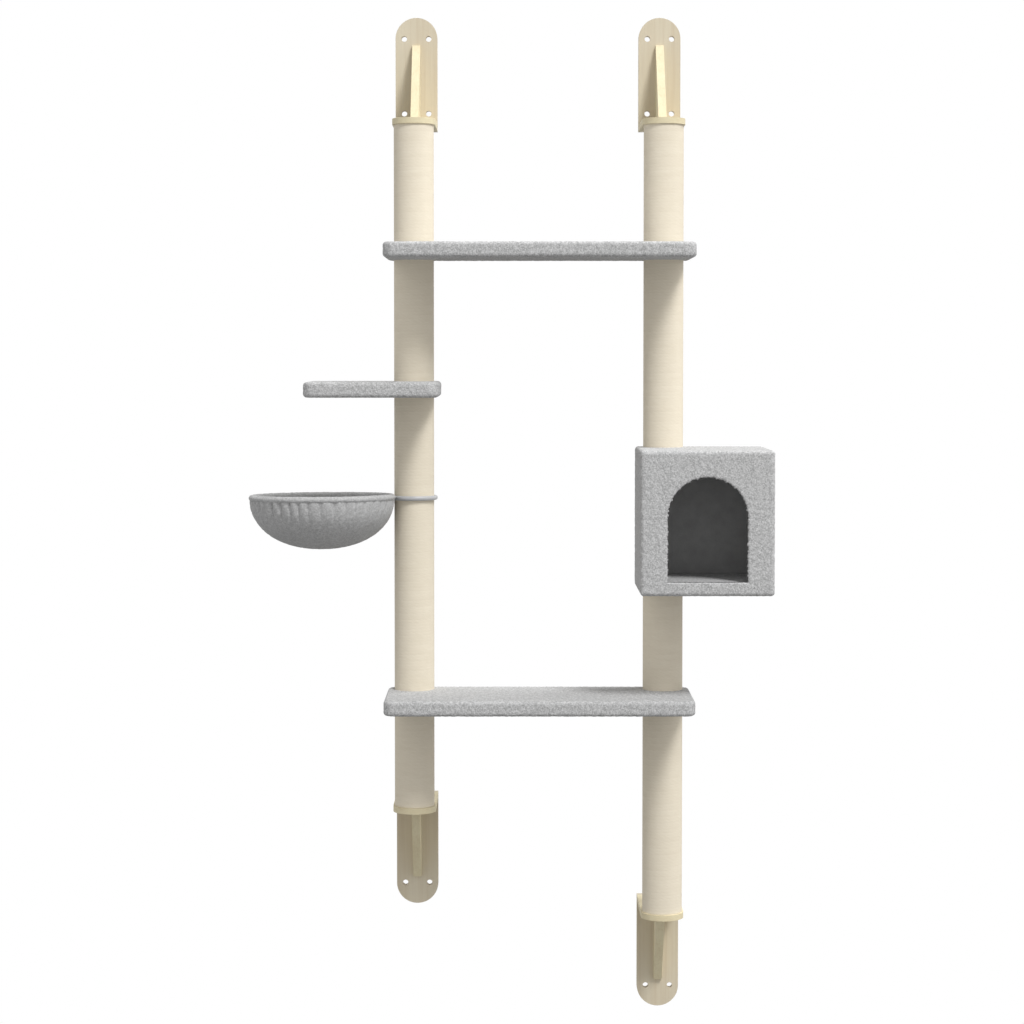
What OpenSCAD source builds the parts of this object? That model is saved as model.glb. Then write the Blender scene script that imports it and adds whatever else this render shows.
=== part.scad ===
// Wall mounted cat tree: two wrapped posts on four wooden wall brackets, three plush platforms,
// a box house with an arched door, and a round hammock that swings round the left post.
// Millimetres, +Z up, +Y into the wall. The origin is the middle of the upper left bracket's
// four screw holes, on the wall.

/* [Posts] */
// Distance between the axes of the two posts
post_spacing = 500; // [400:1:650]
// Outside diameter of the card tube inside each post
tube_d = 70; // [62:1:80]
// Wall of the card tube
tube_wall = 3; // [2:0.5:5]
// Thickness of the sisal wound on the tube
wrap_t = 5; // [3:0.5:7]
// Length of both posts above the upper platform
post_top_len = 241; // [160:1:320]
// Clear height between the upper and the lower platform
platform_gap = 864; // [800:1:1000]
// Length of the left post below the lower platform
left_foot_len = 207; // [140:1:300]
// Length of the right post below the lower platform
right_foot_len = 423; // [320:1:520]

/* [Wall brackets] */
// Width of each wall plate, and of the round flange on it
plate_w = 86; // [80:1:96]
// Thickness of the wall plate
plate_t = 15; // [12:0.5:20]
// Distance between the screw holes across the plate
hole_pitch_x = 50; // [40:1:60]
// Distance between the screw holes along the plate
hole_pitch_z = 153; // [130:1:180]
// Diameter of the screw holes
hole_d = 11.5; // [5:0.5:13]
// From the inner row of holes to the end of the plate that carries the flange
row_to_end = 37; // [32:1:50]
// Thickness of the flange that the post ends on
flange_t = 12; // [9:0.5:16]
// From the front of the plate to the axis of the post
axis_gap = 150; // [135:1:165]
// Thickness of the triangular gusset
gusset_t = 16.5; // [12:0.5:20]
// How far the gusset reaches along the flange
gusset_reach = 115; // [90:1:125]
// Depth of the gusset at its thin end
gusset_nose = 7; // [4:0.5:15]
// From the gusset's thin end to the outer row of holes
gusset_end_gap = 14; // [10:1:30]

/* [Platforms] */
// Thickness of the board inside each platform
board_t = 18; // [12:0.5:22]
// Thickness of the plush on boards and house
plush_t = 5; // [3:0.5:7]
// Depth of the platforms, front to back
platform_depth = 222; // [180:1:260]
// How far the platforms run past the post axis
platform_end = 53; // [46:1:70]
// Corner radius of the platforms, seen from above
corner_r = 20; // [14:1:30]
// Rounding of the platforms' plush edges
edge_r = 6; // [5:0.5:11]
// Width of the small platform
small_platform_w = 261; // [200:1:300]
// Length of the left post between the upper and the small platform
small_platform_drop = 244; // [180:1:300]

/* [House] */
// Width of the house
house_w = 258; // [240:1:320]
// Height of the house
house_h = 280; // [265:1:330]
// Depth of the house
house_d = 234; // [200:1:280]
// How far the house stands out to the left of the right post's axis
house_left = 54; // [48:1:120]
// Length of the right post between the upper platform and the house
house_drop = 376; // [300:1:440]
// Thickness of the house boards
house_board_t = 15; // [9:0.5:16]
// Rounding of the house's plush edges
house_edge_r = 6; // [5:0.5:12]
// Thickness of the dark fabric inside the house
lining_t = 2; // [1:0.5:3]
// Thickness of the plush mat on the house floor
mat_t = 5; // [3:0.5:8]
// Width of the door
door_w = 157; // [120:1:160]
// Height of the door, from the floor to the top of its arch
door_h = 205; // [150:1:215]

/* [Hammock] */
// Outside radius of the hammock at its rim
bowl_r = 146; // [120:1:148]
// Depth of the hammock below its rim
bowl_depth = 100; // [70:1:130]
// Diameter of the steel wire
wire_d = 7; // [5:0.5:8]
// Thickness of the plush sewn round the wire
hem_t = 4; // [2:0.5:5]
// Thickness of the plush of the hammock
bowl_cloth_t = 5; // [3:0.5:6]
// Number of main gathers below the rim
gathers = 14; // [10:1:16]
// Depth of the gathers
gather_depth = 3; // [1:0.5:4]
// How far the hammock points forward of the line along the wall, in degrees
hammock_angle = 17; // [0:1:90]
// From the underside of the small platform to the wire ring on the post
hammock_drop = 204.5; // [150:0.5:280]

/* [Fixings] */
// Diameter of the bolts and studs through the flanges and platforms
bolt_d = 8; // [6:1:10]
// Across the flats of the bolt heads
bolt_head_af = 13; // [12:1:16]
// Height of the bolt heads
bolt_head_h = 5; // [4:0.5:7]
// Diameter of the washers under the flange bolts
washer_d = 20; // [18:1:24]
// Thickness of the washers
washer_t = 1.6; // [1:0.1:3]
// Outside diameter of the insert nuts in the post plugs
nut_d = 13; // [12:0.5:16]
// Length of the insert nuts
nut_len = 22; // [16:1:28]
// Length of the wooden plug in each end of a tube
plug_len = 35; // [30:1:50]
// How far a bolt or stud reaches into a post
bolt_grip = 18; // [12:1:22]
// Diameter of the wood screws
screw_d = 4; // [3:0.5:5]
// Length of the wood screws
screw_len = 45; // [35:1:50]
// Diameter of the screw heads
screw_head_d = 8; // [7:0.5:9]

/* [Hidden] */
$fn = 96;
// Gap round pieces that are pushed or glued into one another
fit_gap = 0.1;
// Gap round bolts and screws in their holes
bolt_gap = 0.3;
// Gap between soft or turning pieces and their neighbours
soft_gap = 0.3;
// How far every cut runs past the face that it cuts
overrun = 1;
// Facets of a full turn on the rounded plush edges
soft_facets = 32;
// Power of the hammock's rounded outline: 2 would be an ellipse
bowl_power = 2.15;
// Points round the hammock for each gather, and rings down its side
gather_points = 4;
bowl_rings = 9;
// Length and radius of the weld that joins the two wire rings
weld_len = 16;
weld_r = 2.8;
// Extra room for the bare wire where the hem is cut open at the post
hem_notch_gap = 2;
// Places of the gusset's wall screws, as shares of its height
gusset_screw_shares = [0.18, 0.62];
// Place of the screw from the flange into the gusset, as a share of the gusset's reach
flange_screw_share = 0.4;
// Length of the cone on the tip of a wood screw, as a share of its length
screw_tip_share = 0.15;
// Places of the house screws along a board's edge, as shares of its length
house_screw_shares = [0.2, 0.8];
// Length of the house screws
house_screw_len = 40;

// Where the posts stand
left_x = 0;
right_x = post_spacing;
post_y = -(plate_t + axis_gap);
post_d = tube_d + 2 * wrap_t;

// Levels from the top down: each platform has a top and a bottom
platform_t = board_t + 2 * plush_t;
flange_face_z = -(hole_pitch_z / 2 + row_to_end);
upper_top_z = flange_face_z - post_top_len;
upper_bottom_z = upper_top_z - platform_t;
small_top_z = upper_bottom_z - small_platform_drop;
small_bottom_z = small_top_z - platform_t;
lower_top_z = upper_bottom_z - platform_gap;
lower_bottom_z = lower_top_z - platform_t;
house_top_z = upper_bottom_z - house_drop;
house_bottom_z = house_top_z - house_h;
left_foot_z = lower_bottom_z - left_foot_len;
right_foot_z = lower_bottom_z - right_foot_len;

// Each run of post as [top, bottom]
top_run = [flange_face_z, upper_top_z];
left_upper_run = [upper_bottom_z, small_top_z];
left_middle_run = [small_bottom_z, lower_top_z];
left_foot_run = [lower_bottom_z, left_foot_z];
right_upper_run = [upper_bottom_z, house_top_z];
right_middle_run = [house_bottom_z, lower_top_z];
right_foot_run = [lower_bottom_z, right_foot_z];
left_runs = [top_run, left_upper_run, left_middle_run, left_foot_run];
right_runs = [top_run, right_upper_run, right_middle_run, right_foot_run];

// Brackets as [x, z of the hole pattern, upside down]
upper_left_place = [left_x, 0, false];
upper_right_place = [right_x, 0, false];
lower_left_place = [left_x, left_foot_z + flange_face_z, true];
lower_right_place = [right_x, right_foot_z + flange_face_z, true];
bracket_places = [upper_left_place, upper_right_place, lower_left_place, lower_right_place];
gusset_foot_z = flange_face_z + flange_t;
bolt_seat_z = gusset_foot_z - bolt_head_h - washer_t;
gusset_h = hole_pitch_z / 2 - gusset_end_gap - gusset_foot_z;

// Platforms and house share one back plane, level with the backs of the card tubes
back_y = post_y + tube_d / 2;
platform_front_y = back_y - platform_depth;
long_platform = [left_x - platform_end, right_x + platform_end];
small_platform = [left_x + platform_end - small_platform_w, left_x + platform_end];

// House: outside of the plush, outside of the boards, inside of the boards and inside of the lining,
// each as [low corner, high corner]
house_low = [right_x - house_left, back_y - house_d, house_bottom_z];
house_high = house_low + [house_w, house_d, house_h];
plush_wall = [plush_t, plush_t, plush_t];
board_wall = [house_board_t, house_board_t, house_board_t];
lining_wall = [lining_t, lining_t, lining_t];
shell_low = house_low + plush_wall;
shell_high = house_high - plush_wall;
room_low = shell_low + board_wall;
room_high = shell_high - board_wall;
inside_low = room_low + lining_wall;
inside_high = room_high - lining_wall;
door_x = (house_low.x + house_high.x) / 2;
door_z = room_low.z + mat_t;

// Hammock: radii of the two rings at the middle of their wire, and the bowl's centre
post_ring_r = post_d / 2 + soft_gap + wire_d / 2;
bowl_ring_r = bowl_r - hem_t - soft_gap - wire_d / 2;
ring_distance = post_ring_r + wire_d + bowl_ring_r;
ring_z = small_bottom_z - hammock_drop;
bowl_x = left_x - ring_distance * cos(hammock_angle);
bowl_y = post_y - ring_distance * sin(hammock_angle);
hem_r = wire_d / 2 + soft_gap + hem_t;

// A solid block between two corners
module block(low, high) {
    translate(low) cube(high - low);
}

// Plan of a board: a rectangle whose corners are true arcs
module rounded_plan(x_range, y_range, r) {
    for (x = [x_range[0] + r, x_range[1] - r], y = [y_range[0] + r, y_range[1] - r])
        translate([x, y]) circle(r);
    translate([x_range[0] + r, y_range[0]])
        square([x_range[1] - x_range[0] - 2 * r, y_range[1] - y_range[0]]);
    translate([x_range[0], y_range[0] + r])
        square([x_range[1] - x_range[0], y_range[1] - y_range[0] - 2 * r]);
}

// Half section of a soft corner post: round top and bottom edges on a round corner
module soft_section(h, plan_r, round_r) {
    intersection() {
        union() {
            translate([plan_r - round_r, round_r]) circle(round_r);
            translate([plan_r - round_r, h - round_r]) circle(round_r);
            translate([0, round_r]) square([plan_r, h - 2 * round_r]);
        }
        square([plan_r, h]);
    }
}

// Slab of plush with soft edges all round
module soft_slab(low, high, plan_r, round_r) {
    hull()
        for (x = [low.x + plan_r, high.x - plan_r], y = [low.y + plan_r, high.y - plan_r])
            translate([x, y, low.z])
                rotate_extrude($fn = soft_facets)
                    soft_section(high.z - low.z, plan_r, round_r, $fn = soft_facets);
}

// Places one bracket, the lower ones upside down
module at_bracket(place) {
    translate([place[0], 0, place[1]])
        if (place[2])
            mirror([0, 0, 1]) children();
        else
            children();
}

// A wood screw pointing along +Z, its flat head in the plane z = 0. The room round it is its own gap.
module wood_screw(len, gap = 0) {
    head_h = (screw_head_d - screw_d) / 2;
    tip_len = len * screw_tip_share;
    rotate_extrude()
        polygon([
            [0, 0],
            [screw_head_d / 2 + gap, 0],
            [screw_d / 2 + gap, head_h],
            [screw_d / 2 + gap, len - tip_len],
            [gap, len + gap],
            [0, len + gap]
        ]);
}

// The five screws of a bracket: two into the flange's end, two into the gusset, one between them
module bracket_screw_set(gap = 0) {
    flange_mid_z = flange_face_z + flange_t / 2;
    for (x = [-hole_pitch_x / 2, hole_pitch_x / 2])
        translate([x, 0, flange_mid_z]) rotate([90, 0, 0]) wood_screw(screw_len, gap);
    for (share = gusset_screw_shares)
        translate([0, 0, gusset_foot_z + gusset_h * share])
            rotate([90, 0, 0]) wood_screw(gusset_screw_len(share), gap);
    translate([0, -(plate_t + gusset_reach * flange_screw_share), flange_face_z])
        wood_screw(screw_len, gap);
}

// The gusset thins towards its end, so a screw there is shorter
function gusset_depth_at(share) = gusset_reach + (gusset_nose - gusset_reach) * share;
function gusset_screw_len(share) = min(screw_len, plate_t + gusset_depth_at(share) - screw_d);

// Wall plate with a round end, four holes for wall screws and its own screw holes
module wall_plate(place) {
    color("#e6d9b4")
        at_bracket(place)
            difference() {
                rotate([90, 0, 0])
                    linear_extrude(plate_t) {
                        translate([0, hole_pitch_z / 2]) circle(plate_w / 2);
                        translate([-plate_w / 2, flange_face_z])
                            square([plate_w, hole_pitch_z / 2 - flange_face_z]);
                    }
                for (x = [-hole_pitch_x / 2, hole_pitch_x / 2], z = [-hole_pitch_z / 2, hole_pitch_z / 2])
                    translate([x, overrun, z])
                        rotate([90, 0, 0]) cylinder(d = hole_d, h = plate_t + 2 * overrun);
                bracket_screw_set(bolt_gap);
            }
}

// Flange with a round end on the post's axis
module post_flange(place) {
    color("#efe4c0")
        at_bracket(place)
            difference() {
                translate([0, 0, flange_face_z])
                    linear_extrude(flange_t) {
                        translate([0, post_y]) circle(plate_w / 2);
                        translate([-plate_w / 2, post_y]) square([plate_w, axis_gap]);
                    }
                translate([0, post_y, flange_face_z - overrun])
                    cylinder(d = bolt_d + 2 * bolt_gap, h = flange_t + 2 * overrun);
                translate([0, post_y, bolt_seat_z])
                    cylinder(d = washer_d + 2 * bolt_gap, h = bolt_head_h + washer_t + overrun);
                bracket_screw_set(bolt_gap);
            }
}

// Triangular gusset between plate and flange
module gusset(place) {
    color("#f4e9c4")
        at_bracket(place)
            difference() {
                translate([0, -plate_t, gusset_foot_z])
                    rotate([90, 0, -90])
                        linear_extrude(gusset_t, center = true)
                            polygon([[0, 0], [gusset_reach, 0], [gusset_nose, gusset_h], [0, gusset_h]]);
                bracket_screw_set(bolt_gap);
            }
}

// All twenty wood screws of the brackets
module bracket_screws() {
    color("#b9bcc0")
        for (place = bracket_places)
            at_bracket(place) bracket_screw_set();
}

// Hexagon bolt pointing along -Z, its head standing on the plane z = 0
module hex_bolt(len) {
    cylinder(d = bolt_head_af / cos(180 / 6), h = bolt_head_h, $fn = 6);
    translate([0, 0, -len]) cylinder(d = bolt_d, h = len);
}

// Bolt through each flange into the post's end
module flange_bolts() {
    color("#b9bcc0")
        for (place = bracket_places)
            at_bracket(place)
                translate([0, post_y, bolt_seat_z + washer_t])
                    hex_bolt(bolt_seat_z + washer_t - flange_face_z + bolt_grip);
}

// Washer under each flange bolt
module flange_washers() {
    color("#c6c9cc")
        for (place = bracket_places)
            at_bracket(place)
                translate([0, post_y, bolt_seat_z])
                    difference() {
                        cylinder(d = washer_d, h = washer_t);
                        translate([0, 0, -overrun])
                            cylinder(d = bolt_d + 2 * bolt_gap, h = washer_t + 2 * overrun);
                    }
}

// Hollow cylinder along one run of a post
module post_sleeve(x, run, outer_d, inner_d) {
    translate([x, post_y, run[1]])
        difference() {
            cylinder(d = outer_d, h = run[0] - run[1]);
            translate([0, 0, -overrun]) cylinder(d = inner_d, h = run[0] - run[1] + 2 * overrun);
        }
}

// Card tube of one run of post
module post_tube(x, run) {
    color("#c9b28a") post_sleeve(x, run, tube_d, tube_d - 2 * tube_wall);
}

// Sisal wound on one run of post, turn against turn
module sisal_wrap(x, run) {
    color("#e9e0cb") post_sleeve(x, run, post_d, tube_d + 2 * fit_gap);
}

// Wooden plug in both ends of every run of one post, bored for its insert nut
module post_plugs(x, runs) {
    color("#cdb98f")
        for (run = runs, z = [run[1], run[0] - plug_len])
            translate([x, post_y, z])
                difference() {
                    cylinder(d = tube_d - 2 * tube_wall - 2 * fit_gap, h = plug_len);
                    translate([0, 0, -overrun])
                        cylinder(d = nut_d + 2 * fit_gap, h = plug_len + 2 * overrun);
                }
}

// Insert nut in each plug, flush with the end of the post
module insert_nuts() {
    color("#a9adb1")
        for (post = [[left_x, left_runs], [right_x, right_runs]], run = post[1], z = [run[1], run[0] - nut_len])
            translate([post[0], post_y, z])
                difference() {
                    cylinder(d = nut_d, h = nut_len);
                    translate([0, 0, -overrun])
                        cylinder(d = bolt_d + 2 * bolt_gap, h = nut_len + 2 * overrun);
                }
}

// Double ended stud through each platform where a post stands on it
module platform_studs() {
    color("#b9bcc0")
        for (spot = [
            [left_x, upper_bottom_z], [right_x, upper_bottom_z], [left_x, small_bottom_z],
            [left_x, lower_bottom_z], [right_x, lower_bottom_z]
        ])
            translate([spot[0], post_y, spot[1] - bolt_grip])
                cylinder(d = bolt_d, h = platform_t + 2 * bolt_grip);
}

// Stud holes through a platform, from one level to another
module stud_holes(post_xs, z, h) {
    for (x = post_xs)
        translate([x, post_y, z - overrun])
            cylinder(d = bolt_d + 2 * bolt_gap, h = h + 2 * overrun);
}

// The wooden board's outline raised to its thickness
module board_solid(x_range, bottom_z) {
    translate([0, 0, bottom_z + plush_t])
        linear_extrude(board_t)
            rounded_plan(
                x_range + [plush_t, -plush_t],
                [platform_front_y + plush_t, back_y - plush_t],
                corner_r - plush_t
            );
}

// Board inside a platform
module platform_board(x_range, bottom_z, post_xs) {
    color("#d8c69c")
        difference() {
            board_solid(x_range, bottom_z);
            stud_holes(post_xs, bottom_z, platform_t);
        }
}

// Plush skin drawn round a platform's board
module platform_plush(x_range, bottom_z, post_xs) {
    color("#b7b7b7")
        difference() {
            soft_slab(
                [x_range[0], platform_front_y, bottom_z],
                [x_range[1], back_y, bottom_z + platform_t],
                corner_r,
                edge_r
            );
            board_solid(x_range, bottom_z);
            stud_holes(post_xs, bottom_z, platform_t);
        }
}

// Arched doorway as a cut, from one y to another
module doorway(front_y, back_y) {
    translate([door_x, back_y, door_z])
        rotate([90, 0, 0])
            linear_extrude(back_y - front_y) {
                translate([0, door_h - door_w / 2]) circle(door_w / 2);
                translate([-door_w / 2, 0]) square([door_w, door_h - door_w / 2]);
            }
}

// Hole for a house bolt's shank between two levels
module house_bolt_hole(z_low, z_high) {
    translate([right_x, post_y, z_low - overrun])
        cylinder(d = bolt_d + 2 * bolt_gap, h = z_high - z_low + 2 * overrun);
}

// Pocket for a house bolt's round head between two levels
module house_head_pocket(z_low, z_high) {
    translate([right_x, post_y, z_low])
        cylinder(d = washer_d + 2 * bolt_gap, h = z_high - z_low);
}

// Top board, with the bolt head let into its inner face
module house_top_board() {
    color("#d8c69c")
        difference() {
            block([shell_low.x, shell_low.y, room_high.z], shell_high);
            house_bolt_hole(room_high.z, shell_high.z);
            house_head_pocket(room_high.z - overrun, room_high.z + bolt_head_h);
            house_screw_set(bolt_gap);
        }
}

// Floor board, with the bolt head let into its inner face
module house_floor_board() {
    color("#d8c69c")
        difference() {
            block(shell_low, [shell_high.x, shell_high.y, room_low.z]);
            house_bolt_hole(shell_low.z, room_low.z);
            house_head_pocket(room_low.z - bolt_head_h, room_low.z + overrun);
            house_screw_set(bolt_gap);
        }
}

// Left or right board, between top and floor
module house_side_board(x_low) {
    color("#d8c69c")
        difference() {
            block([x_low, shell_low.y, room_low.z], [x_low + house_board_t, shell_high.y, room_high.z]);
            house_screw_set(bolt_gap);
        }
}

// Back board, between the side boards
module house_back_board() {
    color("#d8c69c")
        difference() {
            block([room_low.x, room_high.y, room_low.z], [room_high.x, shell_high.y, room_high.z]);
            house_screw_set(bolt_gap);
        }
}

// Front board with the doorway
module house_front_board() {
    color("#d8c69c")
        difference() {
            block([room_low.x, shell_low.y, room_low.z], [room_high.x, room_low.y, room_high.z]);
            doorway(shell_low.y - overrun, room_low.y + overrun);
            house_screw_set(bolt_gap);
        }
}

// Screws through top and floor into the side boards, and through the sides into back and front
module house_screw_set(gap = 0) {
    half_board = house_board_t / 2;
    span_y = shell_high.y - shell_low.y;
    span_z = room_high.z - room_low.z;
    for (x = [shell_low.x + half_board, shell_high.x - half_board], share = house_screw_shares) {
        y = shell_low.y + span_y * share;
        translate([x, y, shell_high.z]) rotate([180, 0, 0]) wood_screw(house_screw_len, gap);
        translate([x, y, shell_low.z]) wood_screw(house_screw_len, gap);
    }
    for (y = [shell_low.y + half_board, shell_high.y - half_board], share = house_screw_shares) {
        z = room_low.z + span_z * share;
        translate([shell_low.x, y, z]) rotate([0, 90, 0]) wood_screw(house_screw_len, gap);
        translate([shell_high.x, y, z]) rotate([0, -90, 0]) wood_screw(house_screw_len, gap);
    }
}

// All screws of the house
module house_screws() {
    color("#b9bcc0") house_screw_set();
}

// Bolts from inside the house into the posts above and below it
module house_bolts() {
    color("#b9bcc0") {
        translate([right_x, post_y, room_high.z]) {
            cylinder(d = washer_d, h = bolt_head_h);
            cylinder(d = bolt_d, h = house_board_t + plush_t + bolt_grip);
        }
        translate([right_x, post_y, room_low.z])
            mirror([0, 0, 1]) {
                cylinder(d = washer_d, h = bolt_head_h);
                cylinder(d = bolt_d, h = house_board_t + plush_t + bolt_grip);
            }
    }
}

// Plush skin over the outside of the house
module house_plush() {
    color("#b7b7b7")
        difference() {
            soft_slab(house_low, house_high, house_edge_r, house_edge_r);
            block(shell_low, shell_high);
            doorway(house_low.y - overrun, shell_low.y + overrun);
            house_bolt_hole(house_low.z, shell_low.z);
            house_bolt_hole(shell_high.z, house_high.z);
        }
}

// Dark fabric on the walls and ceiling of the room, open at the floor and the door
module house_lining() {
    color("#464646")
        difference() {
            block(room_low, room_high);
            block([inside_low.x, inside_low.y, room_low.z - overrun], inside_high);
            doorway(room_low.y - overrun, inside_low.y + overrun);
            house_head_pocket(inside_high.z - overrun, room_high.z + overrun);
        }
}

// Loose plush mat on the floor of the room
module house_floor_mat() {
    color("#c2c2c2")
        block(
            [inside_low.x + soft_gap, inside_low.y + soft_gap, room_low.z],
            [inside_high.x - soft_gap, inside_high.y - soft_gap, room_low.z + mat_t]
        );
}

// A ring of round wire, lying flat
module wire_ring(ring_r, r) {
    rotate_extrude() translate([ring_r, 0]) circle(r);
}

// Post ring and bowl ring side by side, welded where they meet
module hammock_wire_frame() {
    color("#b6b9bd") {
        translate([left_x, post_y, ring_z]) wire_ring(post_ring_r, wire_d / 2);
        translate([bowl_x, bowl_y, ring_z]) wire_ring(bowl_ring_r, wire_d / 2);
        translate([left_x, post_y, ring_z])
            rotate([0, 0, 180 + hammock_angle])
                translate([post_ring_r + wire_d / 2, 0, 0])
                    rotate([90, 0, 0]) cylinder(r = weld_r, h = weld_len, center = true);
    }
}

// Plush sewn round the bowl ring, cut open where the ring meets the post ring
module hammock_hem() {
    color("#adadad")
        difference() {
            translate([bowl_x, bowl_y, ring_z])
                rotate_extrude()
                    translate([bowl_ring_r, 0])
                        difference() {
                            circle(hem_r);
                            circle(wire_d / 2 + soft_gap);
                        }
            translate([left_x, post_y, ring_z - hem_r - overrun])
                cylinder(r = post_ring_r + wire_d / 2 + hem_notch_gap, h = 2 * hem_r + 2 * overrun);
        }
}

// Hammock outline: the angle runs from the top edge of the cloth to 90 degrees at the bottom.
// A point's radius and depth follow a rounded curve between an ellipse and a box.
bowl_top_drop = hem_r + soft_gap;
bowl_start_angle = asin(pow(bowl_top_drop / bowl_depth, bowl_power / 2));
bowl_points = gathers * gather_points;
function ring_angle(i) = bowl_start_angle + (90 - bowl_start_angle) * i / bowl_rings;
function outline_r(a, r) = r * pow(cos(a), 2 / bowl_power);
function outline_z(a, depth) = -depth * pow(sin(a), 2 / bowl_power);

// Gathers draw the cloth in between their ridges, and fade out towards the bottom
function gather_at(i, j) =
    gather_depth * (1 - cos(360 * j / gather_points)) / 2 * pow(1 - i / bowl_rings, 2);
function bowl_point(i, j, r, depth) =
    let (
        a = ring_angle(i),
        turn = 360 * j / bowl_points,
        rr = outline_r(a, r) - gather_at(i, j)
    )
    [rr * cos(turn), rr * sin(turn), outline_z(a, depth)];

// The inner skin starts level with the outer one, so its own depth is measured from the same top
function bowl_skin(r, depth) = [
    for (i = [0:bowl_rings - 1], j = [0:bowl_points - 1]) bowl_point(i, j, r, depth)
];

// Triangles between two rings of points that start at rows a and b, in the given turning sense
function band(a, b) = [
    for (j = [0:bowl_points - 1])
        let (k = (j + 1) % bowl_points)
        each [[a + j, b + j, b + k], [a + j, b + k, a + k]]
];

// Plush bowl with its main gathers, closed between an outer and an inner skin
module hammock_bowl() {
    outer = bowl_skin(bowl_r, bowl_depth);
    inner_shift = outline_z(bowl_start_angle, bowl_depth) - outline_z(bowl_start_angle, bowl_depth - bowl_cloth_t);
    inner = [
        for (p = bowl_skin(bowl_r - bowl_cloth_t, bowl_depth - bowl_cloth_t))
            [p.x, p.y, min(p.z + inner_shift, -bowl_top_drop)]
    ];
    n = bowl_rings * bowl_points;
    bottom = [0, 0, -bowl_depth];
    inner_bottom = [0, 0, bowl_cloth_t - bowl_depth];
    last = (bowl_rings - 1) * bowl_points;
    faces = concat(
        [for (i = [0:bowl_rings - 2]) each band(i * bowl_points, (i + 1) * bowl_points)],
        [for (j = [0:bowl_points - 1]) [last + j, 2 * n, last + (j + 1) % bowl_points]],
        [for (i = [0:bowl_rings - 2]) each band(n + (i + 1) * bowl_points, n + i * bowl_points)],
        [for (j = [0:bowl_points - 1]) [n + last + (j + 1) % bowl_points, 2 * n + 1, n + last + j]],
        band(n, 0)
    );
    color("#adadad")
        translate([bowl_x, bowl_y, ring_z])
            polyhedron(points = concat(outer, inner, [bottom, inner_bottom]), faces = faces);
}

wall_plate(upper_left_place);  // wall_plate_upper_left
wall_plate(upper_right_place);  // wall_plate_upper_right
wall_plate(lower_left_place);  // wall_plate_lower_left
wall_plate(lower_right_place);  // wall_plate_lower_right
post_flange(upper_left_place);  // post_flange_upper_left
post_flange(upper_right_place);  // post_flange_upper_right
post_flange(lower_left_place);  // post_flange_lower_left
post_flange(lower_right_place);  // post_flange_lower_right
gusset(upper_left_place);  // gusset_upper_left
gusset(upper_right_place);  // gusset_upper_right
gusset(lower_left_place);  // gusset_lower_left
gusset(lower_right_place);  // gusset_lower_right
bracket_screws();
flange_bolts();
flange_washers();
post_tube(left_x, top_run);  // left_tube_top
post_tube(left_x, left_upper_run);  // left_tube_upper
post_tube(left_x, left_middle_run);  // left_tube_middle
post_tube(left_x, left_foot_run);  // left_tube_foot
post_tube(right_x, top_run);  // right_tube_top
post_tube(right_x, right_upper_run);  // right_tube_upper
post_tube(right_x, right_middle_run);  // right_tube_middle
post_tube(right_x, right_foot_run);  // right_tube_foot
sisal_wrap(left_x, top_run);  // left_sisal_top
sisal_wrap(left_x, left_upper_run);  // left_sisal_upper
sisal_wrap(left_x, left_middle_run);  // left_sisal_middle
sisal_wrap(left_x, left_foot_run);  // left_sisal_foot
sisal_wrap(right_x, top_run);  // right_sisal_top
sisal_wrap(right_x, right_upper_run);  // right_sisal_upper
sisal_wrap(right_x, right_middle_run);  // right_sisal_middle
sisal_wrap(right_x, right_foot_run);  // right_sisal_foot
post_plugs(left_x, left_runs);  // left_post_plugs
post_plugs(right_x, right_runs);  // right_post_plugs
insert_nuts();
platform_studs();
platform_board(long_platform, upper_bottom_z, [left_x, right_x]);  // upper_platform_board
platform_board(small_platform, small_bottom_z, [left_x]);  // small_platform_board
platform_board(long_platform, lower_bottom_z, [left_x, right_x]);  // lower_platform_board
platform_plush(long_platform, upper_bottom_z, [left_x, right_x]);  // upper_platform_plush
platform_plush(small_platform, small_bottom_z, [left_x]);  // small_platform_plush
platform_plush(long_platform, lower_bottom_z, [left_x, right_x]);  // lower_platform_plush
house_top_board();
house_floor_board();
house_back_board();
house_side_board(shell_low.x);  // house_left_board
house_side_board(room_high.x);  // house_right_board
house_front_board();
house_plush();
house_lining();
house_floor_mat();
house_bolts();
house_screws();
hammock_wire_frame();
hammock_hem();
hammock_bowl();
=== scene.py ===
import math

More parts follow.
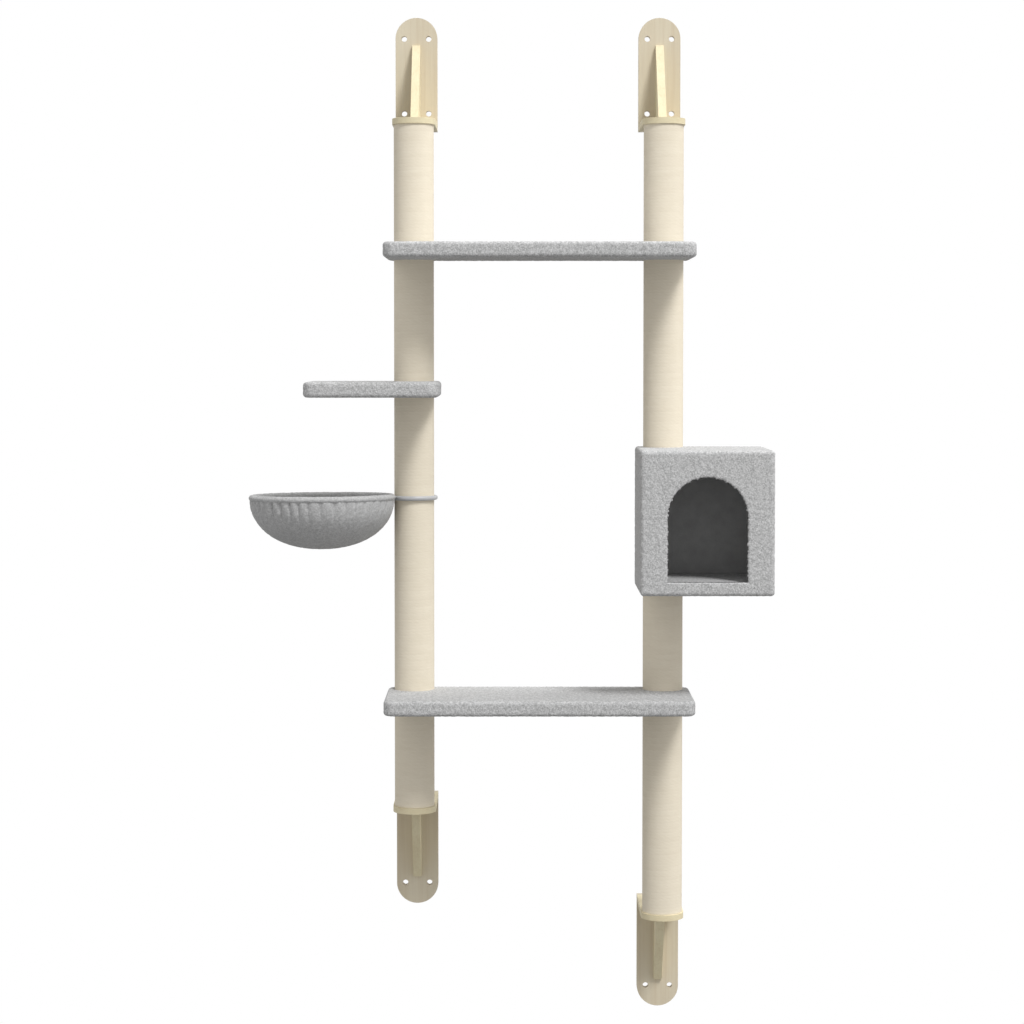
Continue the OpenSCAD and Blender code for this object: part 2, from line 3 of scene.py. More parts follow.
import bmesh
import bpy
import numpy as np
from bpy.props import FloatProperty, FloatVectorProperty, IntProperty, PointerProperty
from bpy.types import Operator, Panel, PropertyGroup
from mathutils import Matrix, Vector


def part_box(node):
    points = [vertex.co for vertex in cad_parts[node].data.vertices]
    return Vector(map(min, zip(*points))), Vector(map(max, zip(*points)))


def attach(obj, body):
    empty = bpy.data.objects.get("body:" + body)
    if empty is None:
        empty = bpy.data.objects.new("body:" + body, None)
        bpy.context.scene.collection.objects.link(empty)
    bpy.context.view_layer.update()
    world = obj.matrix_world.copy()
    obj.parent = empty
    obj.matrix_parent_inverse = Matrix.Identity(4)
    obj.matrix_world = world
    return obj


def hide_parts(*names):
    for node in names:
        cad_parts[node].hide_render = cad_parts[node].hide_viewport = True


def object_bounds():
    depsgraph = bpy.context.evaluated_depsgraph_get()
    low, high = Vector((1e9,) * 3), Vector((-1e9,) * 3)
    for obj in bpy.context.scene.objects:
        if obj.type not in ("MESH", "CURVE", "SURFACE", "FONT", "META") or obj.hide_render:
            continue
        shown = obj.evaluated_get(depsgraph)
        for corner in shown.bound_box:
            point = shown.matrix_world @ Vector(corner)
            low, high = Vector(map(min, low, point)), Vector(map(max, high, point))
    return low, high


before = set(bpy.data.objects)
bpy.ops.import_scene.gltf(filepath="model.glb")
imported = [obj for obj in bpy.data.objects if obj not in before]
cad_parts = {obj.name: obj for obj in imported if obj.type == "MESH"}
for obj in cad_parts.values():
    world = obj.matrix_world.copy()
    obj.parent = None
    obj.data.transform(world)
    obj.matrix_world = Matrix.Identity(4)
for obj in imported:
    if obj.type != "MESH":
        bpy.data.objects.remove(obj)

bl_info = {
    "name": "Wall Cat Tree Finish",
    "version": (1, 0, 0),
    "blender": (4, 5, 0),
    "location": "View3D > Sidebar > Cat Tree",
    "description": "Dresses a wall mounted cat tree in sisal, plush, wood and wire",
    "category": "Object",
}

CAD_LOW, CAD_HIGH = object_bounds()
MM = 0.001
UP = np.array([0.0, 0.0, 1.0])

BRACKETS = ("upper_left", "upper_right", "lower_left", "lower_right")
SIDES = ("left", "right")
RUNS = ("top", "upper", "middle", "foot")
PLATFORMS = ("upper", "small", "lower")
HOUSE_BOARDS = ("top", "floor", "back", "left", "right", "front")
FIXINGS = ("bracket_screws", "flange_bolts", "flange_washers", "insert_nuts", "platform_studs",
           "house_bolts", "house_screws")

# Faces of a box, as (axis, end), and how much finer the plush is than its back.
FRONT, UNDERSIDE = (1, 0), (2, 0)
INSIDE_RATIO = 4

# Starts of the random fields of the pile.
PLATFORM_SEED, HOUSE_SEED, HEM_SEED, BOWL_SEED, TUFT_SEED, MAT_SEED = 11, 31, 41, 43, 57, 71


def node_box(name):
    """Lowest and highest corner of a CAD node as two arrays, in metres."""
    low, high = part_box(name)
    return np.array(low), np.array(high)


def rgb(red, green, blue):
    """An opaque colour from three linear values."""
    return (red, green, blue, 1.0)


def length_property(name, description, millimetres):
    """A length that the user can change, given here in millimetres."""
    return FloatProperty(
        name=name, description=description, default=millimetres * MM, min=0.0, precision=5,
        unit="LENGTH", subtype="DISTANCE",
    )


def count_property(name, description, count, least):
    """A whole number that the user can change."""
    return IntProperty(name=name, description=description, default=count, min=least)


def colour_property(name, description, value):
    """A colour that the user can change, as three linear values."""
    return FloatVectorProperty(
        name=name, description=description, default=value, min=0.0, max=1.0, size=3,
        subtype="COLOR",
    )


def values_property(name, description, values, **options):
    """Two or three numbers that the user can change together."""
    return FloatVectorProperty(
        name=name, description=description, default=values, size=len(values), **options
    )


def way_property(name, degrees):
    """Direction of a lamp, given here in degrees."""
    return values_property(
        name, "Angle off the front to the right, and above the horizon",
        [math.radians(angle) for angle in degrees], unit="ROTATION",
    )


class CatTreeSizes(PropertyGroup):
    """Sizes of the finish. The construction's own sizes come from the frame."""

    rope_pitch: length_property("Rope pitch", "Height of one turn of sisal", 6.4)
    rope_groove: length_property("Rope groove", "Depth between two turns of sisal", 0.10)
    rope_thickness: length_property("Rope thickness", "From the card tube to the outside", 4.9)
    rope_columns: count_property("Rope columns", "Points round each sisal sleeve", 64, 12)
    rope_rows: count_property("Rope rows", "Rows of points for each turn of sisal", 8, 4)
    plush_step: length_property("Plush grid", "Distance between the points of the plush", 2.2)
    plush_curl: length_property("Plush curl", "Distance between two curls of the pile", 6.6)
    plush_relief: length_property("Plush relief", "Height of the curls of the pile", 0.32)
    plush_proud: length_property("Plush proud", "How far the pile stands off the covers", 1.0)
    plush_thickness: length_property("Plush thickness", "Thickness of the plush on boards", 5.0)
    platform_corner: length_property("Platform corner", "Corner radius seen from above", 20.0)
    plush_edge: length_property("Plush edge", "Rounding of the platforms' plush edges", 6.0)
    house_edge: length_property("House edge", "Rounding of the house's plush edges", 6.0)
    door_width: length_property("Door width", "Width of the arched door", 157.0)
    door_height: length_property("Door height", "Height of the arched door", 205.0)
    door_lip: length_property("Door lip", "Rounding of the plush at the door's edge", 2.5)
    door_fray: length_property("Door fray", "How far the pile stands into the door", 3.0)
    tuft_step: length_property("Tufts", "Distance between two tufts at the door's edge", 4.5)
    lining_thickness: length_property("Lining", "Thickness of the fabric inside the house", 1.9)
    mat_gap: length_property("Mat gap", "Gap between the mat and the walls", 1.5)
    mat_corner: length_property("Mat corner", "Corner radius of the mat", 8.0)
    mat_puff: length_property("Mat puff", "Height that is left for the mat's filling", 0.9)
    hem_radius: length_property("Hem radius", "Radius of the plush tube on the hammock's ring", 7.8)
    hem_height: length_property("Hem height", "From the hem's middle to its top", 6.5)
    hem_lift: length_property("Hem lift", "From the wire ring up to the middle of the hem", 2.6)
    wire_diameter: length_property("Wire", "Diameter of the hammock's wire", 7.0)
    coat_height: length_property("Coat height", "Height of the coated ring round the post", 9.0)
    bead_length: length_property("Weld length", "Length of the weld between the two rings", 16.0)
    bead_radius: length_property("Weld radius", "Radius of the weld between the two rings", 3.0)
    bowl_cloth: length_property("Hammock cloth", "Thickness of the hammock's plush", 5.0)
    bowl_rise: length_property("Bowl rise", "How far the bowl's cloth rises over the hem", 6.0)
    rim_lift: length_property("Rim lift", "How far the rim rises on its free side", 3.0)
    gather_depth: length_property("Gather depth", "Depth of the gathers below the hem", 7.0)
    gather_count: count_property("Gathers", "Number of gathers round the hammock", 42, 6)
    wood_edge: length_property("Wood edge", "Rounding of the brackets' edges", 0.9)
    gusset_edge: length_property("Gusset edge", "Rounding of the gussets' edges", 1.8)


class CatTreeColours(PropertyGroup):
    """Linear colours of the finishes."""

    # Tips and roots mix mostly by random tone; a small share follows the curls' height, as painted
    # light on the raised curls and painted shade between them.
    plush_tip_and_curl_light: colour_property("Plush tips", "Tips of the pile", (0.595, 0.595, 0.595))
    plush_root_and_curl_shade: colour_property("Plush roots", "Between the curls of the pile", (0.34, 0.34, 0.34))
    # Painted shade: creases, gathers and the door's reveal take this dark colour in place of the
    # shade that falls there.
    plush_crease_shade: colour_property("Plush creases", "Creases and gathers", (0.14, 0.14, 0.14))
    lining: colour_property("Lining", "Fabric inside the house", (0.42, 0.42, 0.42))
    sisal_light: colour_property("Sisal", "Lit fibres of the sisal", (0.82, 0.75, 0.62))
    sisal_dark: colour_property("Sisal shade", "Dark fibres of the sisal", (0.72, 0.645, 0.51))
    wood_light: colour_property("Wood", "Early wood of the brackets", (0.655, 0.590, 0.455))
    wood_dark: colour_property("Wood grain", "Late wood of the brackets", (0.575, 0.490, 0.357))
    pale_tint: values_property(
        "Pale tint", "Gussets' and flanges' wood as shares of the plates' wood", (1.12, 1.12, 1.0)
    )
    board_light: colour_property("Board", "Light chips of the boards", (0.62, 0.50, 0.31))
    board_dark: colour_property("Board grain", "Dark chips of the boards", (0.46, 0.34, 0.19))
    card_light: colour_property("Card", "Light fibres of the tubes", (0.52, 0.38, 0.22))
    card_dark: colour_property("Card shade", "Dark fibres of the tubes", (0.40, 0.28, 0.15))
    steel: colour_property("Steel", "Bolts, nuts and screws", (0.62, 0.63, 0.65))
    wire: colour_property("Wire coat", "Coat of the hammock's wire", (0.47, 0.475, 0.485))


class CatTreeStage(PropertyGroup):
    """Camera, lamps, sky and floor."""

    lens: FloatProperty(name="Lens", description="Focal length in millimetres", default=87.24)
    camera_place: values_property(
        "Camera", "Place of the camera", (0.1955, -5.148, -0.570), subtype="TRANSLATION",
        unit="LENGTH",
    )
    camera_tilt: FloatProperty(
        name="Camera tilt", description="How far the camera looks down",
        default=math.radians(2.24), subtype="ANGLE",
    )
    camera_shift: values_property("Camera shift", "Shift across and up", (0.0005, -0.06))
    lamp_distance: length_property("Lamp distance", "From the object's middle to the lamps", 14000)
    key_way: way_property("Key lamp", (33.5, 51))
    key_size: values_property("Key size", "Width and height", (3.0, 4.2), unit="LENGTH")
    key_power: FloatProperty(name="Key power", description="Key lamp's watts", default=1440)
    side_way: way_property("Side lamp", (108, 64))
    side_size: values_property("Side size", "Width and height", (3.2, 5.0), unit="LENGTH")
    side_power: FloatProperty(name="Side power", description="Side lamp's watts", default=790)
    sky_above: values_property(
        "Sky ahead", "Sky light from the right, from behind and from above", (0.754, 0.402, 0.547)
    )
    sky_under: values_property(
        "Sky behind", "Sky light from the left, from in front and from below", (0.665, 0.632, 0.0)
    )
    floor_drop: length_property("Floor drop", "From the lowest bracket down to the floor", 250)
    floor_radius: length_property("Floor radius", "Radius of the floor", 6000)
    floor_near: length_property("Floor near", "Radius in which the floor keeps its shadow", 350)
    floor_far: length_property("Floor far", "Radius from which the floor is plain white", 700)
    floor_pale: FloatProperty(name="Floor pale", description="Grey of the floor", default=1.12)


def sizes():
    return bpy.context.scene.cat_tree_sizes


def colours():
    return bpy.context.scene.cat_tree_colours


def full_turn(count):
    """Equal angles round a full turn, from 0 on."""
    return np.linspace(0, 2 * np.pi, count, endpoint=False)


def ramp(values, start, end):
    """0 up to start, 1 from end on, and the share of the way between them."""
    return np.clip((values - start) / (end - start), 0, 1)


def unit(vectors):
    """The vectors with length 1."""
    return vectors / np.linalg.norm(vectors, axis=-1, keepdims=True)


def rows_of_points(x, y, z):
    """Points as rows, from coordinates that spread over one grid."""
    return np.stack(np.broadcast_arrays(x, y, z), -1).reshape(-1, 3)


def grid_faces(rows, columns, wrap_rows=False, wrap_columns=False):
    """Quads of a grid whose point (row, column) has the number row * columns + column.
    The normal points along (column direction) x (row direction)."""
    row = np.arange(rows if wrap_rows else rows - 1)[:, None]
    column = np.arange(columns if wrap_columns else columns - 1)[None, :]
    next_row, next_column = (row + 1) % rows, (column + 1) % columns
    corners = (row * columns + column, row * columns + next_column,
               next_row * columns + next_column, next_row * columns + column)
    return np.stack(corners, -1).reshape(-1, 4)


def fan_faces(ring, centre):
    """Triangles from the closed loop of point numbers to one centre point."""
    return np.stack([ring, np.roll(ring, -1), np.full(len(ring), centre)], -1)


def weld(points, face_sets):
    """Merges equal points and renumbers the faces. Also gives which points were kept."""
    keys = np.round(points / (0.001 * MM)).astype(np.int64)
    _, first, number = np.unique(keys, axis=0, return_index=True, return_inverse=True)
    number = number.reshape(-1)
    return points[first], [number[faces] for faces in face_sets], first


def make_piece(name, points, face_sets, body, material, replaced, uv=None, pile=None):
    """Puts points and faces into a new smooth mesh object at the origin and joins it to the frame.
    uv has one row for each face corner in order, pile one value for each point."""
    mesh = bpy.data.meshes.new(name)
    corners = np.concatenate([faces.ravel() for faces in face_sets]).astype(np.int32)
    totals = np.concatenate([np.full(len(faces), faces.shape[1]) for faces in face_sets])
    starts = np.concatenate([[0], np.cumsum(totals)[:-1]]).astype(np.int32)
    mesh.vertices.add(len(points))
    mesh.vertices.foreach_set("co", np.asarray(points, np.float32).ravel())
    mesh.loops.add(len(corners))
    mesh.loops.foreach_set("vertex_index", corners)
    mesh.polygons.add(len(totals))
    mesh.polygons.foreach_set("loop_start", starts)
    mesh.update(calc_edges=True)
    if mesh.validate():
        raise RuntimeError(f"{name}: the mesh had faces that aren't valid")
    mesh.shade_smooth()
    if uv is not None:
        layer = mesh.uv_layers.new(name="rope")
        layer.data.foreach_set("uv", np.asarray(uv, np.float32).ravel())
    if pile is not None:
        attribute = mesh.attributes.new("pile", "FLOAT", "POINT")
        attribute.data.foreach_set("value", pile.astype(np.float32))
    return join_frame(mesh, body, material, replaced)


def join_frame(mesh, body, material, replaced):
    """An object for the mesh with its material, its body and the nodes it stands for."""
    piece = bpy.data.objects.new(mesh.name, mesh)
    bpy.context.scene.collection.objects.link(piece)
    mesh.materials.clear()
    mesh.materials.append(material)
    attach(piece, body)
    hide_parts(*replaced)
    return piece


def finish_nodes(names, material):
    """Gives CAD nodes their finished material."""
    for name in names:
        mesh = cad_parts[name].data
        mesh.materials.clear()
        mesh.materials.append(material)


def curl_field(points, wavelength, seed, waves=48):
    """Smooth random field of about -1 to 1: the sum of plane waves in random directions, whose
    lengths lie between 2/3 and twice the wavelength, divided by its spread."""
    random = np.random.default_rng(seed)
    directions = unit(random.normal(size=(waves, 3)))
    lengths = wavelength * random.uniform(0.66, 2.0, waves)
    phases = random.uniform(0, 2 * np.pi, waves)
    field = np.zeros(len(points))
    for direction, length, phase in zip(directions, lengths, phases):
        field += np.cos(points @ direction * (2 * np.pi / length) + phase)
    return field / math.sqrt(waves / 2) / 2


def raise_pile(points, normals, seed, proud=0.0):
    """Moves the points of a plush surface along their normals by the curls of the pile. The
    height is proud + relief * tanh(1.6 * curl field); the mask is 0 between curls, 1 on them, and
    paints shade between the curls and light on them."""
    curls = np.tanh(1.6 * curl_field(points, sizes().plush_curl, seed))
    height = proud + sizes().plush_relief * curls
    return points + normals * height[:, None], 0.5 + 0.5 * curls


def step_counts(low, high, step):
    """How many steps of about that length go along each side of a box."""
    return np.maximum(np.round((high - low) / step), 1).astype(int)


def box_skin(low, high, counts, left_out=()):
    """Square grids over the faces of a box, with equal points on its edges. left_out names the
    faces that stay open. Gives the points and the quads, which face outwards."""
    points, faces, start = [], [], 0
    for axis in range(3):
        across, up = (axis + 1) % 3, (axis + 2) % 3
        for end in (0, 1):
            if (axis, end) in left_out:
                continue
            grid = np.zeros((counts[up] + 1, counts[across] + 1, 3))
            grid[..., axis] = end
            grid[..., across] = np.arange(counts[across] + 1)[None, :] / counts[across]
            grid[..., up] = np.arange(counts[up] + 1)[:, None] / counts[up]
            quads = grid_faces(*grid.shape[:2])
            faces.append((quads if end else quads[:, ::-1]) + start)
            points.append(low + grid.reshape(-1, 3) * (high - low))
            start += grid.shape[0] * grid.shape[1]
    return np.concatenate(points), np.concatenate(faces)


def soft_box(low, high, step, plan_radius, edge_radius):
    """A closed box with soft edges in steps of about that length: points, quads and normals."""
    points, faces = box_skin(low, high, step_counts(low, high, step))
    points, (faces,), _ = weld(points, [faces])
    points, normals = round_off(points, low, high, plan_radius, edge_radius)
    return points, faces, normals


def round_off(points, low, high, plan_radius, edge_radius):
    """Pulls points on a box's surface onto the same box with soft edges, and gives the normals.
    The soft box is a ball of edge_radius rolled over an inner slab, whose corners seen from above
    have the rest of plan_radius; each point goes to the ball over its nearest slab point."""
    core_low, core_high = low + plan_radius, high - plan_radius
    core = np.clip(points[:, :2], core_low[:2], core_high[:2])
    away = points[:, :2] - core
    distance = np.linalg.norm(away, axis=1)
    reach = np.minimum(distance, plan_radius - edge_radius)
    slab = np.empty_like(points)
    slab[:, :2] = core + away * (reach / np.maximum(distance, 1e-12))[:, None]
    slab[:, 2] = np.clip(points[:, 2], low[2] + edge_radius, high[2] - edge_radius)
    normals = unit(points - slab)
    return slab + normals * edge_radius, normals


def bevelled_copy(node, material, edge):
    """A merged copy of a bracket's CAD node with softly rounded edges, which stands for the node.
    Edges flatter than the first angle go, those over the second are shaded sharp, and those over
    the third are rounded."""
    flat, sharp, rounded = (math.radians(angle) for angle in (0.5, 30, 40))
    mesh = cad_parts[node].data.copy()
    mesh.name = node + "_finished"
    cage = bmesh.new()
    cage.from_mesh(mesh)
    bmesh.ops.remove_doubles(cage, verts=cage.verts, dist=0.002 * MM)
    bmesh.ops.dissolve_limit(cage, angle_limit=flat, verts=cage.verts, edges=cage.edges)
    cage.to_mesh(mesh)
    cage.free()
    mesh.shade_smooth()
    mesh.set_sharp_from_angle(angle=sharp)
    piece = join_frame(mesh, "tree", material, (node,))
    bevel = piece.modifiers.new("Soft edges", "BEVEL")
    bevel.width = edge
    bevel.segments = 2
    bevel.limit_method = "ANGLE"
    bevel.angle_limit = rounded


def add_node(tree, kind, inputs=None, **options):
    """Adds a shader node, sets its options, and sets or links the inputs by name or number."""
    node = tree.nodes.new("ShaderNode" + kind)
    for option, value in options.items():
        setattr(node, option, value)
    for socket, value in (inputs or {}).items():
        if isinstance(value, bpy.types.NodeSocket):
            tree.links.new(value, node.inputs[socket])
        else:
            node.inputs[socket].default_value = value
    return node


def maths(tree, operation, *values):
    """The result of one Math node on up to three values."""
    return add_node(tree, "Math", dict(enumerate(values)), operation=operation).outputs[0]


def weighted(tree, first, *others):
    """The sum of values times their weights, given as pairs."""
    total = maths(tree, "MULTIPLY", *first)
    for value, weight in others:
        total = maths(tree, "MULTIPLY_ADD", value, weight, total)
    return total


def noise(tree, vector, scale=1.0, detail=2.0, distortion=0.0):
    """The value of one Noise Texture node."""
    inputs = {"Vector": vector, "Scale": scale, "Detail": detail, "Distortion": distortion}
    return add_node(tree, "TexNoise", inputs).outputs["Fac"]


def stretch(tree, vector, scale, rotation=(0.0, 0.0, 0.0)):
    """A vector turned and scaled by a Mapping node."""
    inputs = {"Vector": vector, "Rotation": rotation, "Scale": scale}
    return add_node(tree, "Mapping", inputs).outputs[0]


def remap(tree, value, low, high, new_low=0.0, new_high=1.0, **options):
    """A value moved from one range to another and kept inside it."""
    inputs = {"Value": value, "From Min": low, "From Max": high, "To Min": new_low,
              "To Max": new_high}
    return add_node(tree, "MapRange", inputs, **options).outputs[0]


def mix_colours(tree, share, first, second):
    """Two colours mixed by a share."""
    inputs = {0: share, 6: first, 7: second}
    return add_node(tree, "Mix", inputs, data_type="RGBA").outputs[2]


def mix_numbers(tree, share, first, second):
    """Two numbers mixed by a share."""
    return add_node(tree, "Mix", {0: share, 2: first, 3: second}).outputs[0]


def effect_group(name, **inputs):
    """Makes a function that adds an effect's nodes into one that gives the effect's shader group,
    built at its first use. inputs says what kind each input socket is. The effect gets the group
    and its inputs, and gives the colour, the roughness and the height."""
    outputs = {"Color": "Color", "Roughness": "Float", "Height": "Float"}

    def with_effect(effect):
        def built_once():
            if name in bpy.data.node_groups:
                return bpy.data.node_groups[name]
            group = bpy.data.node_groups.new(name, "ShaderNodeTree")
            for way, sockets in (("INPUT", inputs), ("OUTPUT", outputs)):
                for socket, kind in sockets.items():
                    group.interface.new_socket(
                        name=socket, in_out=way, socket_type="NodeSocket" + kind
                    )
            given = group.nodes.new("NodeGroupInput").outputs
            result = group.nodes.new("NodeGroupOutput").inputs
            for socket, value in zip(outputs, effect(group, given)):
                group.links.new(value, result[socket])
            return group

        return built_once

    return with_effect


@effect_group("Wood grain", Vector="Vector", Light="Color", Dark="Color")
def wood_grain(group, given):
    """Straight grain along Z: broad bands, narrow late wood lines and fine pores."""
    band_scale, line_scale, pore_scale = (38, 38, 2.2), (230, 230, 5), (1500, 1500, 45)
    place = given["Vector"]
    bands = noise(group, stretch(group, place, band_scale), detail=3.0, distortion=0.4)
    lines = noise(group, stretch(group, place, line_scale), detail=3.0, distortion=0.6)
    pores = noise(group, stretch(group, place, pore_scale))
    band_share = remap(group, bands, 0.32, 0.70)
    line_share = remap(group, lines, 0.46, 0.70)
    late_wood = weighted(group, (band_share, 0.5), (line_share, 0.45))
    grain = mix_colours(group, late_wood, given["Light"], given["Dark"])
    colour = mix_colours(group, remap(group, pores, 0.58, 0.78, 0.0, 0.35), grain, given["Dark"])
    roughness = remap(group, lines, 0.3, 0.7, 0.52, 0.68)
    return colour, roughness, weighted(group, (lines, 0.5), (pores, -0.5))


@effect_group(
    "Curly pile", Vector="Vector", Pile="Float", Tip="Color", Root="Color", Crease="Color"
)
def curly_pile(group, given):
    """Pile of looped yarn: swirls, clouds, fibres and loops, with painted light on the raised curls
    of the mesh and painted shade between them. Where the pile's mask is below 0 it turns to the
    crease's colour, which is painted shade."""
    swirl_scale, cloud_scale, fibre_scale, loop_scale = 315.0, 90.0, 1100.0, 420.0
    place, mask = given["Vector"], given["Pile"]
    swirls = noise(group, place, swirl_scale, detail=1.0, distortion=0.8)
    clouds = noise(group, place, cloud_scale, distortion=0.6)
    fibres = noise(group, place, fibre_scale, distortion=1.2)
    loops = add_node(
        group, "TexVoronoi", {"Vector": place, "Scale": loop_scale}, feature="SMOOTH_F1"
    ).outputs["Distance"]
    rounds = remap(group, loops, 0.05, 0.65, 1.0, 0.0)
    # Painted light and shade: the mask's share makes the raised curls lighter and the hollows
    # between them darker.
    shade = weighted(group, (swirls, 1.9), (mask, 0.22), (clouds, 0.45), (rounds, 0.35))
    pile = mix_colours(group, remap(group, shade, 1.025, 1.805), given["Root"], given["Tip"])
    # Painted shade: where the mask is below 0 the colour turns to the dark crease colour.
    crease_shade_share = remap(group, mask, -1.0, 0.0, 1.0, 0.0)
    colour = mix_colours(group, crease_shade_share, pile, given["Crease"])
    roughness = remap(group, fibres, 0.3, 0.7, 0.88, 1.0)
    return colour, roughness, weighted(group, (rounds, 0.4), (swirls, 0.9), (fibres, 0.25))


@effect_group("Twisted rope", UV="Vector", Turn="Float", Light="Color", Dark="Color")
def twisted_rope(group, given):
    """Sisal on the rope's own coordinates: U runs round the post in metres, V counts the turns.
    Turn is the length of one turn, so the rope's own length runs on from turn to turn. The fibres
    lean by the twist, and the strands are a sine along the rope."""
    fibre_scale, fibres_per_metre, slow_scale, strands_per_metre = 55.0, 330.0, 9.0, 75.0
    fibre_lean, strand_lean = 8.0, 3.6
    parts = add_node(group, "SeparateXYZ", {0: given["UV"]}).outputs
    turn = maths(group, "FLOOR", parts[1])
    across = maths(group, "SUBTRACT", parts[1], turn)
    along = maths(group, "MULTIPLY_ADD", turn, given["Turn"], parts[0])
    lean = weighted(group, (across, fibre_lean), (along, fibres_per_metre))
    fibre_way = maths(group, "MULTIPLY", along, fibre_scale)
    slow_way = maths(group, "MULTIPLY", along, slow_scale)
    fibre_place = add_node(group, "CombineXYZ", {0: fibre_way, 1: lean, 2: turn}).outputs[0]
    slow_place = add_node(group, "CombineXYZ", {0: slow_way, 1: turn}).outputs[0]
    fibres = noise(group, fibre_place, detail=3.0, distortion=0.3)
    slow = noise(group, slow_place)
    twist = weighted(group, (across, strand_lean), (along, 2 * math.pi * strands_per_metre))
    strands = maths(group, "MULTIPLY_ADD", maths(group, "SINE", twist), 0.5, 0.5)
    shade = weighted(group, (strands, 0.02), (fibres, 0.8), (slow, 0.55))
    colour = mix_colours(group, remap(group, shade, 0.42, 0.95), given["Dark"], given["Light"])
    roughness = remap(group, fibres, 0.3, 0.7, 0.78, 0.92)
    return colour, roughness, weighted(group, (fibres, 0.5), (strands, 0.12))


@effect_group(
    "Speckle", Vector="Vector", Scale="Float", Light="Color", Dark="Color", Smooth="Float",
    Rough="Float",
)
def speckle(group, given):
    """Fine even grain for paper, felt, chips, coats and steel: a fine noise on a broad one."""
    broad_share = 0.06
    fine = noise(group, given["Vector"], given["Scale"], detail=3.0, distortion=0.5)
    broad = noise(group, given["Vector"], maths(group, "MULTIPLY", given["Scale"], broad_share))
    share = remap(group, weighted(group, (broad, 0.4), (fine, 0.6)), 0.35, 0.65)
    colour = mix_colours(group, share, given["Light"], given["Dark"])
    return colour, remap(group, share, 0.0, 1.0, given["Smooth"], given["Rough"]), fine


def finish_material(name, effect, values, bump, **shader):
    """A material whose Principled shader is fed by one effect's group and a Bump node, whose
    distance and strength bump gives. values sets the group's inputs or feeds them with what a
    function adds; shader holds constants for the shader's own sockets."""
    if name in bpy.data.materials:
        return bpy.data.materials[name]
    material = bpy.data.materials.new(name)
    material.use_nodes = True
    tree = material.node_tree
    principled = tree.nodes["Principled BSDF"]
    group = tree.nodes.new("ShaderNodeGroup")
    group.node_tree = effect()
    for socket, value in values.items():
        if callable(value):
            tree.links.new(value(tree), group.inputs[socket])
        else:
            group.inputs[socket].default_value = value
    inputs = {"Height": group.outputs["Height"], "Distance": bump[0], "Strength": bump[1]}
    bumped = add_node(tree, "Bump", inputs)
    tree.links.new(group.outputs["Color"], principled.inputs["Base Color"])
    tree.links.new(group.outputs["Roughness"], principled.inputs["Roughness"])
    tree.links.new(bumped.outputs[0], principled.inputs["Normal"])
    for socket, value in shader.items():
        principled.inputs[socket.replace("_", " ")].default_value = value
    return material


def object_place(tree):
    """The piece's own coordinates, in metres."""
    return add_node(tree, "TexCoord").outputs["Object"]


def grain_along(rotation):
    """Object coordinates turned so that the grain runs another way than up."""
    return lambda tree: stretch(tree, object_place(tree), (1, 1, 1), rotation)


def rope_place(tree):
    """The rope's own coordinates."""
    return add_node(tree, "UVMap", uv_map="rope").outputs[0]


def pile_tone_and_shade_mask(tree):
    """The mask of the plush's pile, kept with the mesh's points. It paints light on the raised
    curls and shade between them and in creases; on the mat it is a random tone.
    """
    return add_node(tree, "Attribute", attribute_name="pile").outputs["Fac"]


def plush_material(name="plush_grey", contrast=1.0):
    """Curly plush. A contrast under 1 brings tips and roots nearer to the colour between them."""
    ends = np.array([colours().plush_tip_and_curl_light, colours().plush_root_and_curl_shade])
    tip_and_curl_light, root_and_curl_shade = ends.mean(0) + contrast * (ends - ends.mean(0))
    values = {
        "Vector": object_place, "Pile": pile_tone_and_shade_mask, "Tip": rgb(*tip_and_curl_light), "Root": rgb(*root_and_curl_shade),
        "Crease": rgb(*colours().plush_crease_shade),
    }
    return finish_material(
        name, curly_pile, values, (1.2 * MM, 0.55),
        Specular_IOR_Level=0.15, Sheen_Weight=0.06, Sheen_Roughness=0.6,
    )


def hammock_plush():
    """The hammock's plush, which is smoother than the boards'."""
    return plush_material("plush_hammock", contrast=0.6)


def wood_material(name, vector=object_place, tint=(1.0, 1.0, 1.0)):
    """Pale wood, whose colours are shares of the plates' wood."""
    light, dark = (np.array(wood) * tint for wood in (colours().wood_light, colours().wood_dark))
    values = {"Vector": vector, "Light": rgb(*light), "Dark": rgb(*dark)}
    return finish_material(
        name, wood_grain, values, (0.25 * MM, 0.5), Specular_IOR_Level=0.3
    )


def rope_material(turn_length):
    """Sisal rope, wound in turns of that length."""
    values = {
        "UV": rope_place, "Turn": turn_length, "Light": rgb(*colours().sisal_light),
        "Dark": rgb(*colours().sisal_dark),
    }
    return finish_material(
        "sisal_rope", twisted_rope, values, (0.5 * MM, 0.5), Specular_IOR_Level=0.2
    )


def speckle_material(name, light, dark, scale, smooth, rough, bump, **shader):
    """Grain of that scale between two colours and two values of roughness."""
    values = {
        "Vector": object_place, "Scale": scale, "Light": rgb(*light), "Dark": rgb(*dark),
        "Smooth": smooth, "Rough": rough,
    }
    return finish_material(name, speckle, values, bump, **shader)


class CATTREE_OT_brackets(Operator):
    """Rounds the edges of the wall plates, flanges and gussets and gives them their wood"""

    bl_idname = "cat_tree.brackets"
    bl_label = "Wooden brackets"

    def execute(self, context):
        upright = wood_material("pine_upright")
        pale = wood_material("pine_gusset", tint=colours().pale_tint)
        crosswise = grain_along((0.0, math.pi / 2, 0.0))
        across = wood_material("pine_across", crosswise, colours().pale_tint)
        edge = sizes().wood_edge
        for place in BRACKETS:
            bevelled_copy("wall_plate_" + place, upright, edge)
            bevelled_copy("gusset_" + place, pale, sizes().gusset_edge)
            bevelled_copy("post_flange_" + place, across, edge)
        return {"FINISHED"}


